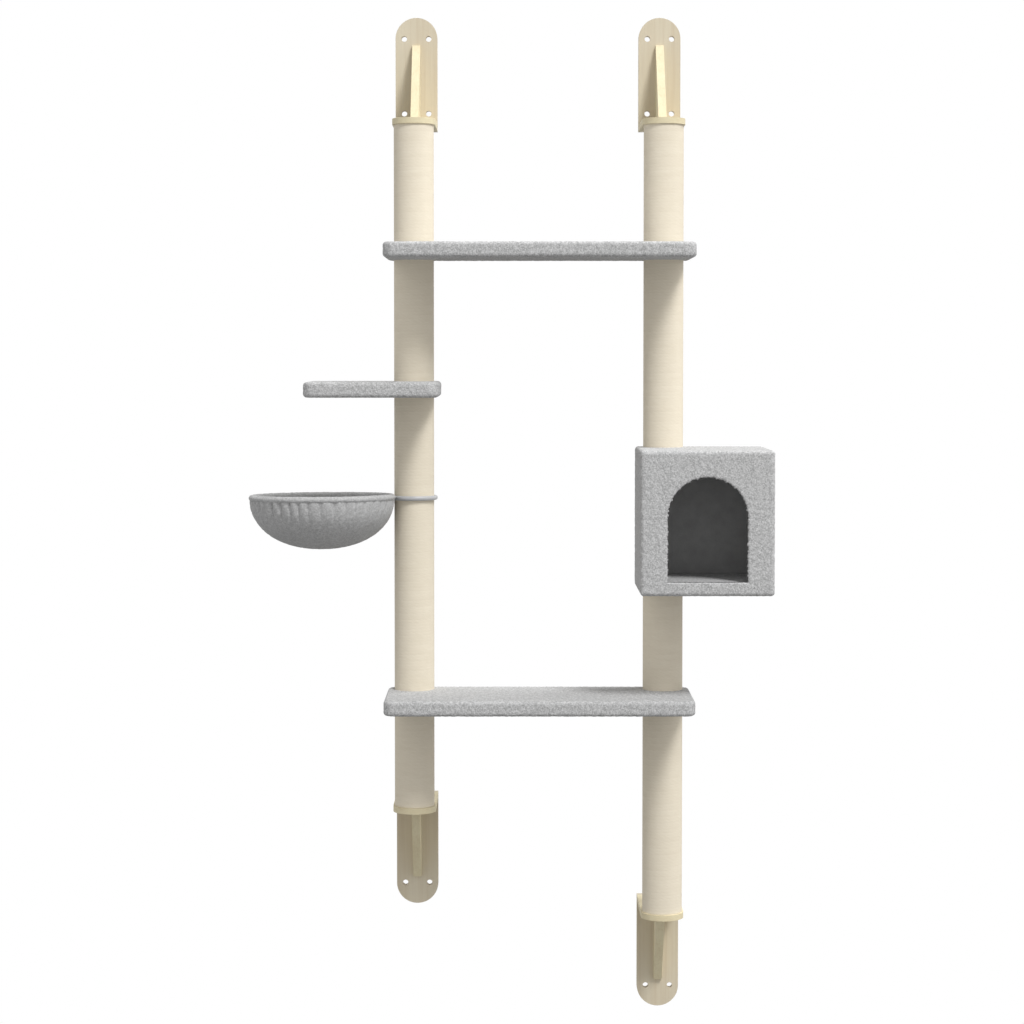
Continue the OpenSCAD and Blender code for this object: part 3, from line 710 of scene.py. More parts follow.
class CATTREE_OT_fixings(Operator):
    """Gives bolts, studs, washers, nuts and screws their steel"""

    bl_idname = "cat_tree.fixings"
    bl_label = "Steel fixings"

    def execute(self, context):
        steel = np.array(colours().steel)
        material = speckle_material(
            "zinc_steel", steel, steel * 0.82, scale=700.0, smooth=0.28, rough=0.42,
            bump=(0.05 * MM, 0.3), Metallic=1.0,
        )
        finish_nodes(FIXINGS, material)
        return {"FINISHED"}


class CATTREE_OT_cores(Operator):
    """Gives the card tubes, their plugs and the hidden boards their finish"""

    bl_idname = "cat_tree.cores"
    bl_label = "Tubes and boards"

    def execute(self, context):
        card = speckle_material(
            "kraft_card", colours().card_light, colours().card_dark, scale=900.0, smooth=0.8,
            rough=0.95, bump=(0.1 * MM, 0.4),
        )
        board = speckle_material(
            "chip_board", colours().board_light, colours().board_dark, scale=320.0, smooth=0.7,
            rough=0.85, bump=(0.3 * MM, 0.4),
        )
        finish_nodes([f"{side}_tube_{run}" for side in SIDES for run in RUNS], card)
        finish_nodes([f"{side}_post_plugs" for side in SIDES], board)
        finish_nodes([f"{name}_platform_board" for name in PLATFORMS], board)
        finish_nodes([f"house_{name}_board" for name in HOUSE_BOARDS], board)
        return {"FINISHED"}


class CATTREE_OT_sisal(Operator):
    """Winds sisal rope on every run of post"""

    bl_idname = "cat_tree.sisal"
    bl_label = "Sisal rope"

    def execute(self, context):
        for side in SIDES:
            for run in RUNS:
                self.wind(f"{side}_sisal_{run}")
        return {"FINISHED"}

    def wind(self, node):
        """A sleeve whose outside is r(angle, z) = R - groove * (1/2 + 1/2 cos(2 pi v))^3, where
        v = z / pitch - angle / (2 pi) counts the turns, so the grooves climb one pitch a turn.
        The rows run up the outside and come back down the plain inside."""
        low, high = node_box(node)
        middle, radius = (low + high) / 2, (high[0] - low[0]) / 2
        inner = radius - sizes().rope_thickness
        pitch, columns = sizes().rope_pitch, sizes().rope_columns
        rows = int(round((high[2] - low[2]) / pitch * sizes().rope_rows))
        angle = full_turn(columns)
        z = np.linspace(low[2], high[2], rows + 1)
        turns = z[:, None] / pitch - angle / (2 * np.pi)
        outer = radius - sizes().rope_groove * (0.5 + 0.5 * np.cos(2 * np.pi * turns)) ** 3
        rings = np.concatenate([outer, np.full((2, columns), inner)])
        levels = np.concatenate([z, [high[2], low[2]]])
        points = rows_of_points(
            middle[0] + rings * np.cos(angle), middle[1] + rings * np.sin(angle), levels[:, None]
        )
        faces = grid_faces(len(levels), columns, wrap_rows=True, wrap_columns=True)
        turn_length = 2 * np.pi * radius
        corner_row, corner_column = faces // columns, faces % columns
        seam = (corner_column == 0) & (corner_column.max(axis=1) == columns - 1)[:, None]
        share = (corner_column + columns * seam) / columns
        uv = np.stack([share * turn_length, levels[corner_row] / pitch - share], -1)
        make_piece(
            node + "_rope", points, [faces], "tree", rope_material(turn_length), (node,),
            uv=uv,
        )


class CATTREE_OT_platforms(Operator):
    """Covers the three platforms in plush"""

    bl_idname = "cat_tree.platforms"
    bl_label = "Plush platforms"

    def execute(self, context):
        for seed, name in enumerate(PLATFORMS, PLATFORM_SEED):
            self.cover(name, seed)
        return {"FINISHED"}

    def cover(self, name, seed):
        """The skin's outside is a soft box with curls on it; its inside is the board's outline."""
        back_step, back_edge = 10 * MM, 1 * MM
        node = name + "_platform_plush"
        low, high = node_box(node)
        thickness, corner = sizes().plush_thickness, sizes().platform_corner
        points, faces, normals = soft_box(
            low, high, sizes().plush_step, corner, sizes().plush_edge
        )
        points, pile = raise_pile(points, normals, seed, sizes().plush_proud)
        back, back_faces, _ = soft_box(
            low + thickness, high - thickness, back_step, corner - thickness, back_edge
        )
        skin = make_piece(
            name + "_platform_cover", np.concatenate([points, back]),
            [np.concatenate([faces, back_faces[:, ::-1] + len(points)])],
            "tree", plush_material(), (node,),
            pile=np.concatenate([pile, np.zeros(len(back))]),
        )


class CATTREE_OT_house(Operator):
    """Covers the house in plush, with the pile turned in round its arched door"""

    bl_idname = "cat_tree.house"
    bl_label = "Plush house"

    def execute(self, context):
        least_proud = 0.3
        low, high = node_box("house_plush")
        points, faces, outer_loop, shares, normals, inward = self.outside(low, high)
        proud = sizes().plush_proud * np.clip(1 - shares, least_proud, 1)
        points, pile = raise_pile(points, normals, HOUSE_SEED, proud)
        pile = self.shade_reveal(pile, shares, inward)
        points += self.fringe(points, shares, inward)
        inside, inside_faces, inside_loop = self.inside(low, high)
        strip = stitch_loops(outer_loop, inside_loop + len(points), INSIDE_RATIO)
        skin = make_piece(
            "house_cover", np.concatenate([points, inside]),
            [faces, inside_faces[:, ::-1] + len(points), strip],
            "tree", plush_material(), ("house_plush",),
            pile=np.concatenate([pile, np.zeros(len(inside))]),
        )
        return {"FINISHED"}

    def outside(self, low, high):
        """The plush's outside: five faces as grids, the front as loops round the door, all pulled
        onto the soft box, and the lip and the reveal behind it. Gives the points, the quads, the
        last loop, the share of the way along the reveal, the normals and the direction towards
        the opening."""
        counts = wall_counts(low, high)
        front, front_faces, front_shares = door_ring(
            low, high, counts, end_y=node_box("house_lining")[0][1], lip=sizes().door_lip,
            flat_rows=24, reveal_rows=7,
        )
        points, faces, loop, origin = close_front(low, high, counts, front, front_faces)
        shares = np.where(origin < 0, 0.0, front_shares[np.maximum(origin, 0)])
        on_wall = shares == 0
        inward = door_inward(points, low, high)
        normals = lip_normals(inward, shares)
        edge = sizes().house_edge
        points[on_wall], normals[on_wall] = round_off(points[on_wall], low, high, edge, edge)
        return points, faces, loop, shares, normals, inward

    def inside(self, low, high):
        """The plush's back on the boards, in steps INSIDE_RATIO times as long. Gives the points,
        the quads and the loop of points round the door."""
        counts = wall_counts(low, high) // INSIDE_RATIO
        low, high = low + sizes().plush_thickness, high - sizes().plush_thickness
        front, front_faces, _ = door_ring(
            low, high, counts, end_y=low[1], lip=0.1 * MM, flat_rows=5, reveal_rows=0
        )
        return close_front(low, high, counts, front, front_faces)[:3]

    def shade_reveal(self, pile, shares, inward):
        """The pile's mask with painted shade on the door's reveal: it falls to -1, the dark crease
        colour, from a quarter to half of the reveal, but not on the sill, where inward points up."""
        dark = ramp(shares, 0.25, 0.5) * ramp(inward[:, 2], 0.5, 0)
        return pile * (1 - dark) - dark

    def fringe(self, points, shares, inward):
        """How far tufts of pile stand into the door: fray * (curl field - threshold) where that is
        over 0, rising over the lip and falling along the reveal, and the least on the sill."""
        threshold, rise_end, fall_start, sill_share = 0.1, 1 / 3, 1 - 1 / 2.2, 0.15
        tufts = np.clip(curl_field(points, sizes().tuft_step, TUFT_SEED) - threshold, 0, 1)
        strength = ramp(shares, 0, rise_end) * ramp(shares, 1, fall_start)
        strength *= np.maximum(ramp(inward[:, 2], 0.6, 0.1), sill_share)
        return inward * (tufts * strength * sizes().door_fray)[:, None]


def wall_counts(low, high):
    """Steps of the house's plush along each side of its box, as multiples of INSIDE_RATIO."""
    return INSIDE_RATIO * step_counts(low, high, INSIDE_RATIO * sizes().plush_step)


def close_front(low, high, counts, front, front_faces, left_out=(FRONT,)):
    """Joins a box without its front to the loops that take the front's place. Gives the points,
    the quads, the last of the loops, and for each point its number among the loops' points,
    below 0 for the box's other points."""
    shell, shell_faces = box_skin(low, high, counts, left_out)
    loop = np.arange(len(shell) + len(front))[-2 * (counts[0] + counts[2]):]
    points, (faces, loop), first = weld(
        np.concatenate([shell, front]),
        [np.concatenate([shell_faces, front_faces + len(shell)]), loop],
    )
    return points, faces, loop, first - len(shell)


def stitch_loops(fine, coarse, ratio):
    """Triangles between two closed loops of point numbers that run the same way round, where the
    first has ratio times the points of the second."""
    fine = fine.reshape(len(coarse), ratio)
    after = np.roll(fine.reshape(-1), -1).reshape(len(coarse), ratio)
    half = ratio // 2
    near = np.broadcast_to(coarse[:, None], (len(coarse), half))
    far = np.broadcast_to(np.roll(coarse, -1)[:, None], (len(coarse), ratio - half))
    first = np.stack([fine[:, :half], after[:, :half], near], -1).reshape(-1, 3)
    second = np.stack([fine[:, half:], after[:, half:], far], -1).reshape(-1, 3)
    bridge = np.stack([fine[:, half], np.roll(coarse, -1), coarse], -1)
    return np.concatenate([first, second, bridge])


def door_facts(low, high):
    """Middle, sill, radius and start of the arch of the door in a wall from low to high."""
    sill, radius = node_box("house_floor_mat")[1][2], sizes().door_width / 2
    return (low[0] + high[0]) / 2, sill, radius, sill + sizes().door_height - radius


def door_outline(low, high, counts, grow):
    """The door's outline as a closed loop that starts at the lower left corner and runs to the
    right: the sill, the right jamb with an eighth of a turn of arch, the arch's middle quarter,
    and the left side. Each part has as many steps as the wall's own side. grow widens it."""
    middle, sill, radius, arch_z = door_facts(low, high)
    radius, sill = radius + grow, sill - grow
    across, _, up = counts
    jamb = arch_z - sill
    side_length = jamb + radius * np.pi / 4
    step_x, way = np.arange(across) / across, np.arange(up) / up * side_length

    def side(way, sign):
        turn = np.maximum(way - jamb, 0) / radius
        z = np.where(way < jamb, sill + way, arch_z + radius * np.sin(turn))
        return middle + sign * radius * np.cos(turn), z

    top_turn = np.pi / 4 + step_x * np.pi / 2
    right_x, right_z = side(way, 1)
    left_x, left_z = side(side_length - way, -1)
    top_x, top_z = middle + radius * np.cos(top_turn), arch_z + radius * np.sin(top_turn)
    x = np.concatenate([middle - radius + step_x * 2 * radius, right_x, top_x, left_x])
    z = np.concatenate([np.full(across, sill), right_z, top_z, left_z])
    return x, z


def wall_outline(low, high, counts):
    """The wall's own outline, point for point with the door's."""
    across, _, up = counts
    way_x = np.arange(across) / across * (high[0] - low[0])
    way_z = np.arange(up) / up * (high[2] - low[2])
    x = np.concatenate(
        [low[0] + way_x, np.full(up, high[0]), high[0] - way_x, np.full(up, low[0])]
    )
    z = np.concatenate(
        [np.full(across, low[2]), low[2] + way_z, np.full(across, high[2]), high[2] - way_z]
    )
    return x, z


def door_ring(low, high, counts, end_y, lip, flat_rows, reveal_rows):
    """Front wall round the door as rows of closed loops. The rows go from the wall's outline to
    the door's, round the lip as a quarter circle of that radius, and back along the reveal, which
    stands a little into the door. Gives the points, the quads and, for each point, 0 on the wall,
    up to a half on the lip and up to 1 at the reveal's end."""
    reveal_inset, lip_rows = 0.4 * MM, 4
    front_y = low[1]
    wall_x, wall_z = wall_outline(low, high, counts)
    edge_x, edge_z = door_outline(low, high, counts, lip)
    share = np.linspace(0, 1, flat_rows)[:, None]
    rows = [(wall_x + (edge_x - wall_x) * share, front_y, wall_z + (edge_z - wall_z) * share, 0.0)]
    if reveal_rows:
        for turn in np.linspace(0, np.pi / 2, lip_rows + 1)[1:]:
            x, z = door_outline(low, high, counts, lip * (1 - np.sin(turn)))
            rows.append((x[None], front_y + lip * (1 - np.cos(turn)), z[None], turn / np.pi))
    x, z = door_outline(low, high, counts, -reveal_inset)
    for way in np.linspace(0, 1, reveal_rows + 1)[1:]:
        y = front_y + lip + (end_y - front_y - lip) * way
        rows.append((x[None], y, z[None], 0.5 + 0.5 * way))
    xs, ys, zs, shares = (
        np.concatenate([np.broadcast_to(row[part], row[0].shape) for row in rows])
        for part in range(4)
    )
    faces = grid_faces(*xs.shape, wrap_columns=True)
    return rows_of_points(xs, ys, zs), faces, shares.reshape(-1)


def door_inward(points, low, high):
    """For each point the direction in the wall's plane towards the door's opening."""
    middle, sill, _, arch_z = door_facts(low, high)
    towards = np.zeros_like(points)
    x, z = points[:, 0] - middle, points[:, 2]
    above = z > arch_z
    distance = np.maximum(np.hypot(x, z - arch_z), 1e-9)
    towards[:, 0] = np.where(above, -x / distance, -np.sign(x))
    towards[:, 2] = np.where(above, -(z - arch_z) / distance, 0)
    towards[z < sill + 0.2 * MM] = UP
    return towards


def lip_normals(inward, shares):
    """Normals of the lip, which turn from the front to the opening in the first half of shares."""
    turn = ramp(shares, 0, 0.5)[:, None] * np.pi / 2
    forward = np.array([0.0, -1.0, 0.0])
    return forward * np.cos(turn) + inward * np.sin(turn)


class CATTREE_OT_room(Operator):
    """Lines the house with dark fabric and lays the plush mat on its floor"""

    bl_idname = "cat_tree.room"
    bl_label = "Lining and mat"

    def execute(self, context):
        self.line()
        self.lay_mat()
        return {"FINISHED"}

    def line(self):
        """Walls and ceiling of the room as one soft box that faces inwards, open at the floor."""
        step, lip, reveal = 5 * MM, 0.5 * MM, 1 * MM
        low, high = node_box("house_lining")
        counts = step_counts(low, high, step)
        front, front_faces, _ = door_ring(
            low, high, counts, end_y=low[1] + reveal, lip=lip, flat_rows=12, reveal_rows=1
        )
        points, faces, _, _ = close_front(
            low, high, counts, front, front_faces, (FRONT, UNDERSIDE)
        )
        lining = np.array(colours().lining)
        material = speckle_material(
            "lining_felt", lining, lining * 0.8, scale=900.0, smooth=0.9, rough=1.0,
            bump=(0.4 * MM, 0.4), Specular_IOR_Level=0.1,
        )
        piece = make_piece(
            "house_lining_cloth", points, [faces], "tree", material, ("house_lining",)
        )
        wall = piece.modifiers.new("Cloth", "SOLIDIFY")
        wall.thickness = sizes().lining_thickness
        wall.offset = -1

    def lay_mat(self):
        """A thin pad with soft edges, blown up a little by the cloth simulation."""
        step, edge_share = 3.2 * MM, 0.45
        low, high = node_box("house_floor_mat")
        gap, puff = sizes().mat_gap, sizes().mat_puff
        pad_low, pad_high = low + [gap, gap, 0], high - [gap, gap, puff]
        points, faces, _ = soft_box(
            pad_low, pad_high, step, sizes().mat_corner, edge_share * (high[2] - low[2])
        )
        pad = make_piece(
            "house_mat", points, [faces], "tree", plush_material(),
            ("house_floor_mat",), pile=0.5 + 0.5 * curl_field(points, sizes().plush_curl, MAT_SEED),
        )
        puff_up(pad, low[2], high[2])


def puff_up(pad, lowest, highest, pressure=4.0, frames=20, cap=1.2 * MM):
    """Runs the cloth simulation on a pad with inner pressure and no gravity, caps how far each
    point moves, and keeps the pad between two levels."""
    scene = bpy.context.scene
    mesh = pad.data
    start = np.empty(len(mesh.vertices) * 3)
    mesh.vertices.foreach_get("co", start)
    cloth = pad.modifiers.new("Cloth", "CLOTH")
    cloth.settings.quality = 6
    cloth.settings.use_pressure = True
    cloth.settings.uniform_pressure_force = pressure
    cloth.settings.effector_weights.gravity = 0
    cloth.point_cache.frame_start, cloth.point_cache.frame_end = 1, frames
    for frame_number in range(1, frames + 1):
        scene.frame_set(frame_number)
    graph = bpy.context.evaluated_depsgraph_get()
    moved = np.empty_like(start)
    pad.evaluated_get(graph).data.vertices.foreach_get("co", moved)
    pad.modifiers.remove(cloth)
    scene.frame_set(1)
    shift = (moved - start).reshape(-1, 3)
    length = np.linalg.norm(shift, axis=1)
    shift *= (np.minimum(length, cap) / np.maximum(length, 1e-12))[:, None]
    points = start.reshape(-1, 3) + shift
    points[:, 2] = np.clip(points[:, 2], lowest, highest)
    mesh.vertices.foreach_set("co", points.ravel())
    mesh.update()


def ring_tube(centre, ring_radius, tube_radius, tube_height, around, across, start=0):
    """A torus round a vertical axis: an ellipse, tube_radius wide and tube_height high from its
    middle, carried round a circle of ring_radius. Its point numbers begin at start."""
    way, turn = full_turn(around)[:, None], full_turn(across)
    reach = ring_radius + tube_radius * np.cos(turn)
    points = rows_of_points(
        centre[0] + reach * np.cos(way), centre[1] + reach * np.sin(way),
        centre[2] + tube_height * np.sin(turn),
    )
    faces = grid_faces(around, across, wrap_rows=True, wrap_columns=True)[:, ::-1] + start
    return points, faces


class CATTREE_OT_wire(Operator):
    """Bends the hammock's two wire rings and welds them together"""

    bl_idname = "cat_tree.wire"
    bl_label = "Wire frame"

    def execute(self, context):
        post, bowl, post_radius, bowl_radius = ring_places()
        wire, coat_height = sizes().wire_diameter / 2, sizes().coat_height / 2
        small, small_faces = ring_tube(
            post, post_radius, wire, coat_height, around=120, across=20
        )
        large, large_faces = ring_tube(
            bowl, bowl_radius, wire, wire, around=240, across=20, start=len(small)
        )
        towards = unit(bowl - post)
        bead, bead_faces = weld_bead(
            post + towards * (post_radius + wire), towards, len(small) + len(large)
        )
        coat = np.array(colours().wire)
        material = speckle_material(
            "grey_coat", coat, coat * 0.93, scale=1400.0, smooth=0.36, rough=0.46,
            bump=(0.06 * MM, 0.35), Specular_IOR_Level=0.5,
        )
        make_piece(
            "hammock_rings", np.concatenate([small, lift_rim(large), bead]),
            [small_faces, large_faces, *bead_faces], "hammock", material,
            ("hammock_wire_frame",),
        )
        return {"FINISHED"}


def weld_bead(centre, towards, start):
    """A lens of weld metal between the rings: an ellipsoid with ripples along its length,
    r(u) = r0 sin(u) (1 + 0.06 cos(14 u)). Its point numbers begin at start."""
    rows, columns = 15, 16
    end = np.cross(towards, UP) * sizes().bead_length / 2
    u = np.linspace(0, np.pi, rows + 2)[1:-1][:, None, None]
    v = full_turn(columns)[None, :, None]
    reach = sizes().bead_radius * np.sin(u) * (1 + 0.06 * np.cos(14 * u))
    points = centre + end * np.cos(u) + reach * (np.cos(v) * towards + np.sin(v) * UP)
    points = np.concatenate([points.reshape(-1, 3), [centre + end, centre - end]])
    rings = grid_faces(rows, columns, wrap_columns=True)
    first = fan_faces(np.arange(columns), rows * columns)[:, ::-1]
    last = fan_faces(np.arange(columns) + (rows - 1) * columns, rows * columns + 1)
    return points, [rings + start, np.concatenate([first, last]) + start]


def ring_places():
    """Centres of the post ring and the bowl ring, and their radii at the middle of the wire."""
    low, high = node_box("hammock_wire_frame")
    bowl_low, bowl_high = node_box("hammock_hem")
    tube_low, tube_high = node_box("left_tube_middle")
    post, bowl = (tube_low + tube_high) / 2, (bowl_low + bowl_high) / 2
    post[2] = bowl[2] = (low[2] + high[2]) / 2
    bowl_radius = (bowl_high[1] - bowl_low[1]) / 2 - sizes().hem_radius
    post_radius = np.linalg.norm(bowl - post) - bowl_radius - sizes().wire_diameter
    return post, bowl, post_radius, bowl_radius


def lift_rim(points):
    """The points turned about the line from the bowl to the post, so that the free front side of
    the rim stands a little above its back."""
    post, bowl, _, bowl_radius = ring_places()
    front = np.cross(unit(post - bowl), UP)
    share = (points - bowl) @ front / bowl_radius
    return points + UP * (share * sizes().rim_lift)[:, None]


class CATTREE_OT_hammock(Operator):
    """Sews the hammock's plush bowl, gathered below the hem round its wire ring"""

    bl_idname = "cat_tree.hammock"
    bl_label = "Plush hammock"

    def execute(self, context):
        hem = self.sew_hem()
        bowl = self.sew_bowl()
        return {"FINISHED"}

    def sew_hem(self):
        """A plush tube round the wire ring. Near the post it is pressed flat against the weld:
        no point lies nearer to the post's axis than the wire ring round the post."""
        pile_room, post_gap = 0.4 * MM, 2 * MM
        post, bowl, post_radius, bowl_radius = ring_places()
        around = int(2 * np.pi * bowl_radius / sizes().plush_step)
        middle = bowl + UP * sizes().hem_lift
        points, faces = ring_tube(
            middle, bowl_radius, sizes().hem_radius - pile_room, sizes().hem_height, around,
            across=24,
        )
        spoke = unit((points - middle) * [1, 1, 0])
        normals = unit(points - (middle + spoke * bowl_radius))
        points, pile = raise_pile(points, normals, HEM_SEED)
        keep_off = post_radius + sizes().wire_diameter / 2 + post_gap
        from_post = points[:, :2] - post[:2]
        distance = np.linalg.norm(from_post, axis=1)
        points[:, :2] = post[:2] + from_post * (np.maximum(distance, keep_off) / distance)[:, None]
        return make_piece(
            "hammock_hem_cloth", lift_rim(points), [faces], "hammock", hammock_plush(),
            ("hammock_hem",), pile=pile,
        )

    def sew_bowl(self):
        """The outside is a superellipse of power p turned round the bowl's axis:
        r = R cos(t)^(2/p) and z = -D sin(t)^(2/p). The inside lies one cloth inside it. Gathers
        move it by depth * (puff(angle) - 3/4) * fade(share of the depth below the rim), and near
        the rim the cloth rises over the hem by rise * exp(-(depth below the rim / 10 mm)^2)."""
        columns, rows, power = 480, 72, 2.15
        side_room, bottom_room, rim_drop = 0.6 * MM, 0.4 * MM, 2 * MM
        rise_reach, rise_outward, crease_shade_strength = 10 * MM, 0.5 * MM, 0.9
        _, centre, _, _ = ring_places()
        low, high = node_box("hammock_bowl")
        radius, depth = (high[1] - low[1]) / 2 - side_room, centre[2] - low[2] - bottom_room
        cloth = sizes().bowl_cloth
        t_top = np.arcsin(min((rim_drop / depth) ** (power / 2), 1))
        t = np.linspace(t_top, np.pi / 2, rows + 1)[:-1]
        across, down = np.cos(t) ** (2 / power), np.sin(t) ** (2 / power)
        profile_r = np.concatenate([((radius - cloth) * across)[::-1], radius * across])
        profile_z = np.concatenate([(-(depth - cloth) * down)[::-1], -depth * down])
        profile_z[rows - 1] = profile_z[rows]
        angle = full_turn(columns)
        below = np.clip(-profile_z / depth, 0, 1)[:, None]
        puff, fade_length = gather_pattern(angle, sizes().gather_count)
        fade = ramp(below, 0.02, 0.10) * (1 - ramp(below, 0.10, 0.10 + fade_length)) ** 1.2
        near = np.exp(-((below * depth / rise_reach) ** 2))
        swell = sizes().gather_depth * (puff - 0.75) * fade
        reach = profile_r[:, None] + swell + rise_outward * near
        level = centre[2] + profile_z[:, None] + sizes().bowl_rise * near
        points = rows_of_points(
            centre[0] + reach * np.cos(angle), centre[1] + reach * np.sin(angle), level
        )
        slope_r, slope_z = np.gradient(profile_r), np.gradient(profile_z)
        slope = np.hypot(slope_r, slope_z)
        out = (-slope_z / slope)[:, None]
        out = rows_of_points(
            out * np.cos(angle), out * np.sin(angle), (slope_r / slope)[:, None]
        )
        points, pile = raise_pile(points, out, BOWL_SEED)
        outside = np.arange(2 * rows)[:, None] >= rows
        # Painted shade: on the outside the creases between the puffs turn towards the dark crease
        # colour, the more the deeper the gather.
        pile -= crease_shade_strength * ((1 - puff) ** 1.5 * fade * outside).reshape(-1)
        poles = centre - np.outer([depth - cloth, depth], UP)
        rings = grid_faces(2 * rows, columns, wrap_columns=True)[:, ::-1]
        ring, count = np.arange(columns), 2 * rows * columns
        inner_pole = fan_faces(ring, count)
        outer_pole = fan_faces(ring + count - columns, count + 1)[:, ::-1]
        return make_piece(
            "hammock_bowl_cloth", np.concatenate([lift_rim(points), poles]),
            [rings, np.concatenate([inner_pole, outer_pole])], "hammock",
            hammock_plush(), ("hammock_bowl",), pile=np.concatenate([pile, [0.5, 0.5]]),
        )


def gather_pattern(angle, count):
    """Puffs round the rim: 1 on a puff, 0 in the crease between two. The angle sways by two sines
    first, so that they lie at uneven distances. They are shallowest at shallow_side and each has
    its own depth. Also gives for each angle the share of the bowl's depth over which the gathers
    fade, which is the longest at long_side."""
    shallow_side, long_side = np.radians(20), np.radians(280)
    uneven = angle + 0.035 * np.sin(3 * angle + 1.0) + 0.02 * np.sin(8 * angle + 2.1)
    puff = np.abs(np.sin(uneven * count / 2)) ** 0.7
    number = np.floor(uneven * count / (2 * np.pi))
    free = 0.3 + 0.7 * (0.5 - 0.5 * np.cos(angle - shallow_side)) ** 1.5
    weight = free * (0.85 + 0.15 * np.sin(2.4 * number))
    fade_length = 0.36 + 0.20 * np.cos(angle - long_side) + 0.08 * np.sin(3.7 * number)
    return 0.75 + (puff - 0.75) * weight, fade_length


class CATTREE_OT_stage(Operator):
    """Sets up the camera, the lamps, the sky light and the pale floor"""

    bl_idname = "cat_tree.stage"
    bl_label = "Stage"

    def execute(self, context):
        stage = context.scene.cat_tree_stage
        middle = (CAD_LOW + CAD_HIGH) / 2
        self.place_camera(context, stage)
        for name in ("key", "side"):
            self.place_lamp(context, stage, middle, name)
        context.scene.world = self.sky(stage)
        self.lay_floor(context, stage, middle)
        context.scene.view_settings.view_transform = "Standard"
        return {"FINISHED"}

    def place_camera(self, context, stage):
        """A camera that looks towards the wall and a little down."""
        data = bpy.data.cameras.new("camera")
        data.sensor_width = 36
        data.lens = stage.lens
        data.shift_x, data.shift_y = stage.camera_shift
        data.clip_start, data.clip_end = 0.1, 100
        camera = bpy.data.objects.new("camera", data)
        camera.location = stage.camera_place
        camera.rotation_euler = (math.pi / 2 - stage.camera_tilt, 0, 0)
        context.scene.collection.objects.link(camera)
        context.scene.camera = camera

    def place_lamp(self, context, stage, middle, name):
        """A large soft lamp that the camera doesn't see, aimed at the object's middle."""
        way, size, power = (getattr(stage, name + part) for part in ("_way", "_size", "_power"))
        data = bpy.data.lights.new(name, "AREA")
        data.shape = "RECTANGLE"
        data.size, data.size_y = size
        data.energy = power
        lamp = bpy.data.objects.new(name, data)
        level = math.cos(way[1])
        away = Vector((math.sin(way[0]) * level, -math.cos(way[0]) * level, math.sin(way[1])))
        lamp.location = middle + away * stage.lamp_distance
        lamp.rotation_mode = "QUATERNION"
        lamp.rotation_quaternion = away.to_track_quat("Z", "Y")
        lamp.visible_camera = False
        context.scene.collection.objects.link(lamp)

    def sky(self, stage):
        """Sky light with one strength for each of six directions, seen as plain white. A ray
        between them gets the sum of its squared x, y and z, each times its side's strength."""
        world = bpy.data.worlds.new("sky")
        world.use_nodes = True
        tree = world.node_tree
        tree.nodes.clear()
        direction = add_node(tree, "TexCoord").outputs["Generated"]
        parts = add_node(tree, "SeparateXYZ", {0: direction}).outputs
        level = 0.0
        for part, under, above in zip(parts, stage.sky_under, stage.sky_above):
            strength = mix_numbers(tree, maths(tree, "GREATER_THAN", part, 0.0), under, above)
            square = maths(tree, "MULTIPLY", part, part)
            level = maths(tree, "MULTIPLY_ADD", square, strength, level)
        strength = mix_numbers(tree, seen_ray(tree), level, 1.0)
        sky = add_node(tree, "Background", {"Color": rgb(1, 1, 1), "Strength": strength})
        add_node(tree, "OutputWorld", {"Surface": sky.outputs[0]})
        return world

    def lay_floor(self, context, stage, middle):
        """A round floor below the object."""
        around = 96
        centre = np.array([middle.x, middle.y, CAD_LOW.z - stage.floor_drop])
        angle = full_turn(around)
        rim = centre + stage.floor_radius * rows_of_points(np.cos(angle), np.sin(angle), 0)
        points = np.concatenate([rim, [centre]])
        mesh = bpy.data.meshes.new("floor")
        mesh.from_pydata(points.tolist(), [], fan_faces(np.arange(around), around).tolist())
        mesh.materials.append(self.floor_material(stage, centre))
        floor = bpy.data.objects.new("floor", mesh)
        context.scene.collection.objects.link(floor)

    def floor_material(self, stage, centre):
        """Keeps the shadow near the object and turns plain white further out. Only rays that see
        the floor meet it, so the light from below is the sky's."""
        material = bpy.data.materials.new("pale_floor")
        material.use_nodes = True
        tree = material.node_tree
        tree.nodes.clear()
        distance = add_node(
            tree, "VectorMath", {0: object_place(tree), 1: centre}, operation="DISTANCE"
        ).outputs["Value"]
        fade = remap(
            tree, distance, stage.floor_near, stage.floor_far, interpolation_type="SMOOTHSTEP"
        )
        pale = add_node(tree, "BsdfDiffuse", {"Color": rgb(*[stage.floor_pale] * 3)}).outputs[0]
        white = add_node(tree, "Emission", {"Color": rgb(1, 1, 1), "Strength": 1.0}).outputs[0]
        look = add_node(tree, "MixShader", {0: fade, 1: pale, 2: white}).outputs[0]
        under = add_node(tree, "NewGeometry").outputs["Backfacing"]
        shown = maths(tree, "SUBTRACT", seen_ray(tree), under)
        clear = add_node(tree, "BsdfTransparent").outputs[0]
        both = add_node(tree, "MixShader", {0: shown, 1: clear, 2: look}).outputs[0]
        add_node(tree, "OutputMaterial", {"Surface": both})
        return material


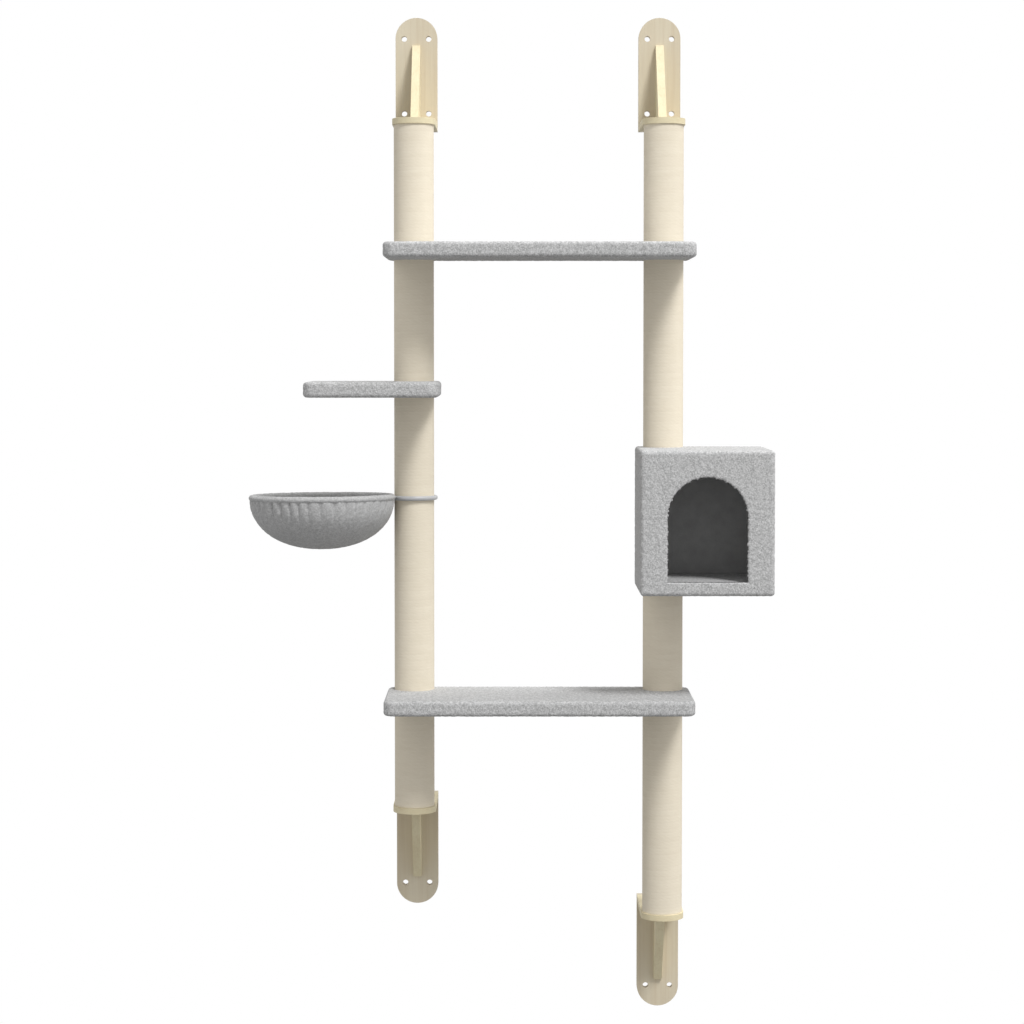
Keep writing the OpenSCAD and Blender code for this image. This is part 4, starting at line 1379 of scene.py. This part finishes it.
def seen_ray(tree):
    """1 for camera, glossy and transmission rays, 0 for the light that surfaces pass on."""
    rays = add_node(tree, "LightPath").outputs
    seen = maths(tree, "MAXIMUM", rays["Is Camera Ray"], rays["Is Glossy Ray"])
    return maths(tree, "MAXIMUM", seen, rays["Is Transmission Ray"])


OPERATORS = (
    CATTREE_OT_stage,
    CATTREE_OT_brackets,
    CATTREE_OT_fixings,
    CATTREE_OT_cores,
    CATTREE_OT_sisal,
    CATTREE_OT_platforms,
    CATTREE_OT_house,
    CATTREE_OT_room,
    CATTREE_OT_wire,
    CATTREE_OT_hammock,
)


class CATTREE_PT_panel(Panel):
    """Lists the finish's settings and operators in the sidebar"""

    bl_idname = "CATTREE_PT_panel"
    bl_label = "Cat Tree"
    bl_space_type = "VIEW_3D"
    bl_region_type = "UI"
    bl_category = "Cat Tree"

    def draw(self, context):
        for group in ("cat_tree_sizes", "cat_tree_colours", "cat_tree_stage"):
            settings = getattr(context.scene, group)
            box = self.layout.box()
            for name in settings.__annotations__:
                box.prop(settings, name)
        for operator in OPERATORS:
            self.layout.operator(operator.bl_idname)


CLASSES = (CatTreeSizes, CatTreeColours, CatTreeStage, *OPERATORS, CATTREE_PT_panel)


def register():
    for cls in CLASSES:
        bpy.utils.register_class(cls)
    bpy.types.Scene.cat_tree_sizes = PointerProperty(type=CatTreeSizes)
    bpy.types.Scene.cat_tree_colours = PointerProperty(type=CatTreeColours)
    bpy.types.Scene.cat_tree_stage = PointerProperty(type=CatTreeStage)


def unregister():
    del bpy.types.Scene.cat_tree_stage
    del bpy.types.Scene.cat_tree_colours
    del bpy.types.Scene.cat_tree_sizes
    for cls in reversed(CLASSES):
        bpy.utils.unregister_class(cls)


def main():
    """Dresses the part."""
    register()
    bpy.ops.cat_tree.stage()
    bpy.ops.cat_tree.brackets()
    bpy.ops.cat_tree.fixings()
    bpy.ops.cat_tree.cores()
    bpy.ops.cat_tree.sisal()
    bpy.ops.cat_tree.platforms()
    bpy.ops.cat_tree.house()
    bpy.ops.cat_tree.room()
    bpy.ops.cat_tree.wire()
    bpy.ops.cat_tree.hammock()


if __name__ == "__main__":
    main()
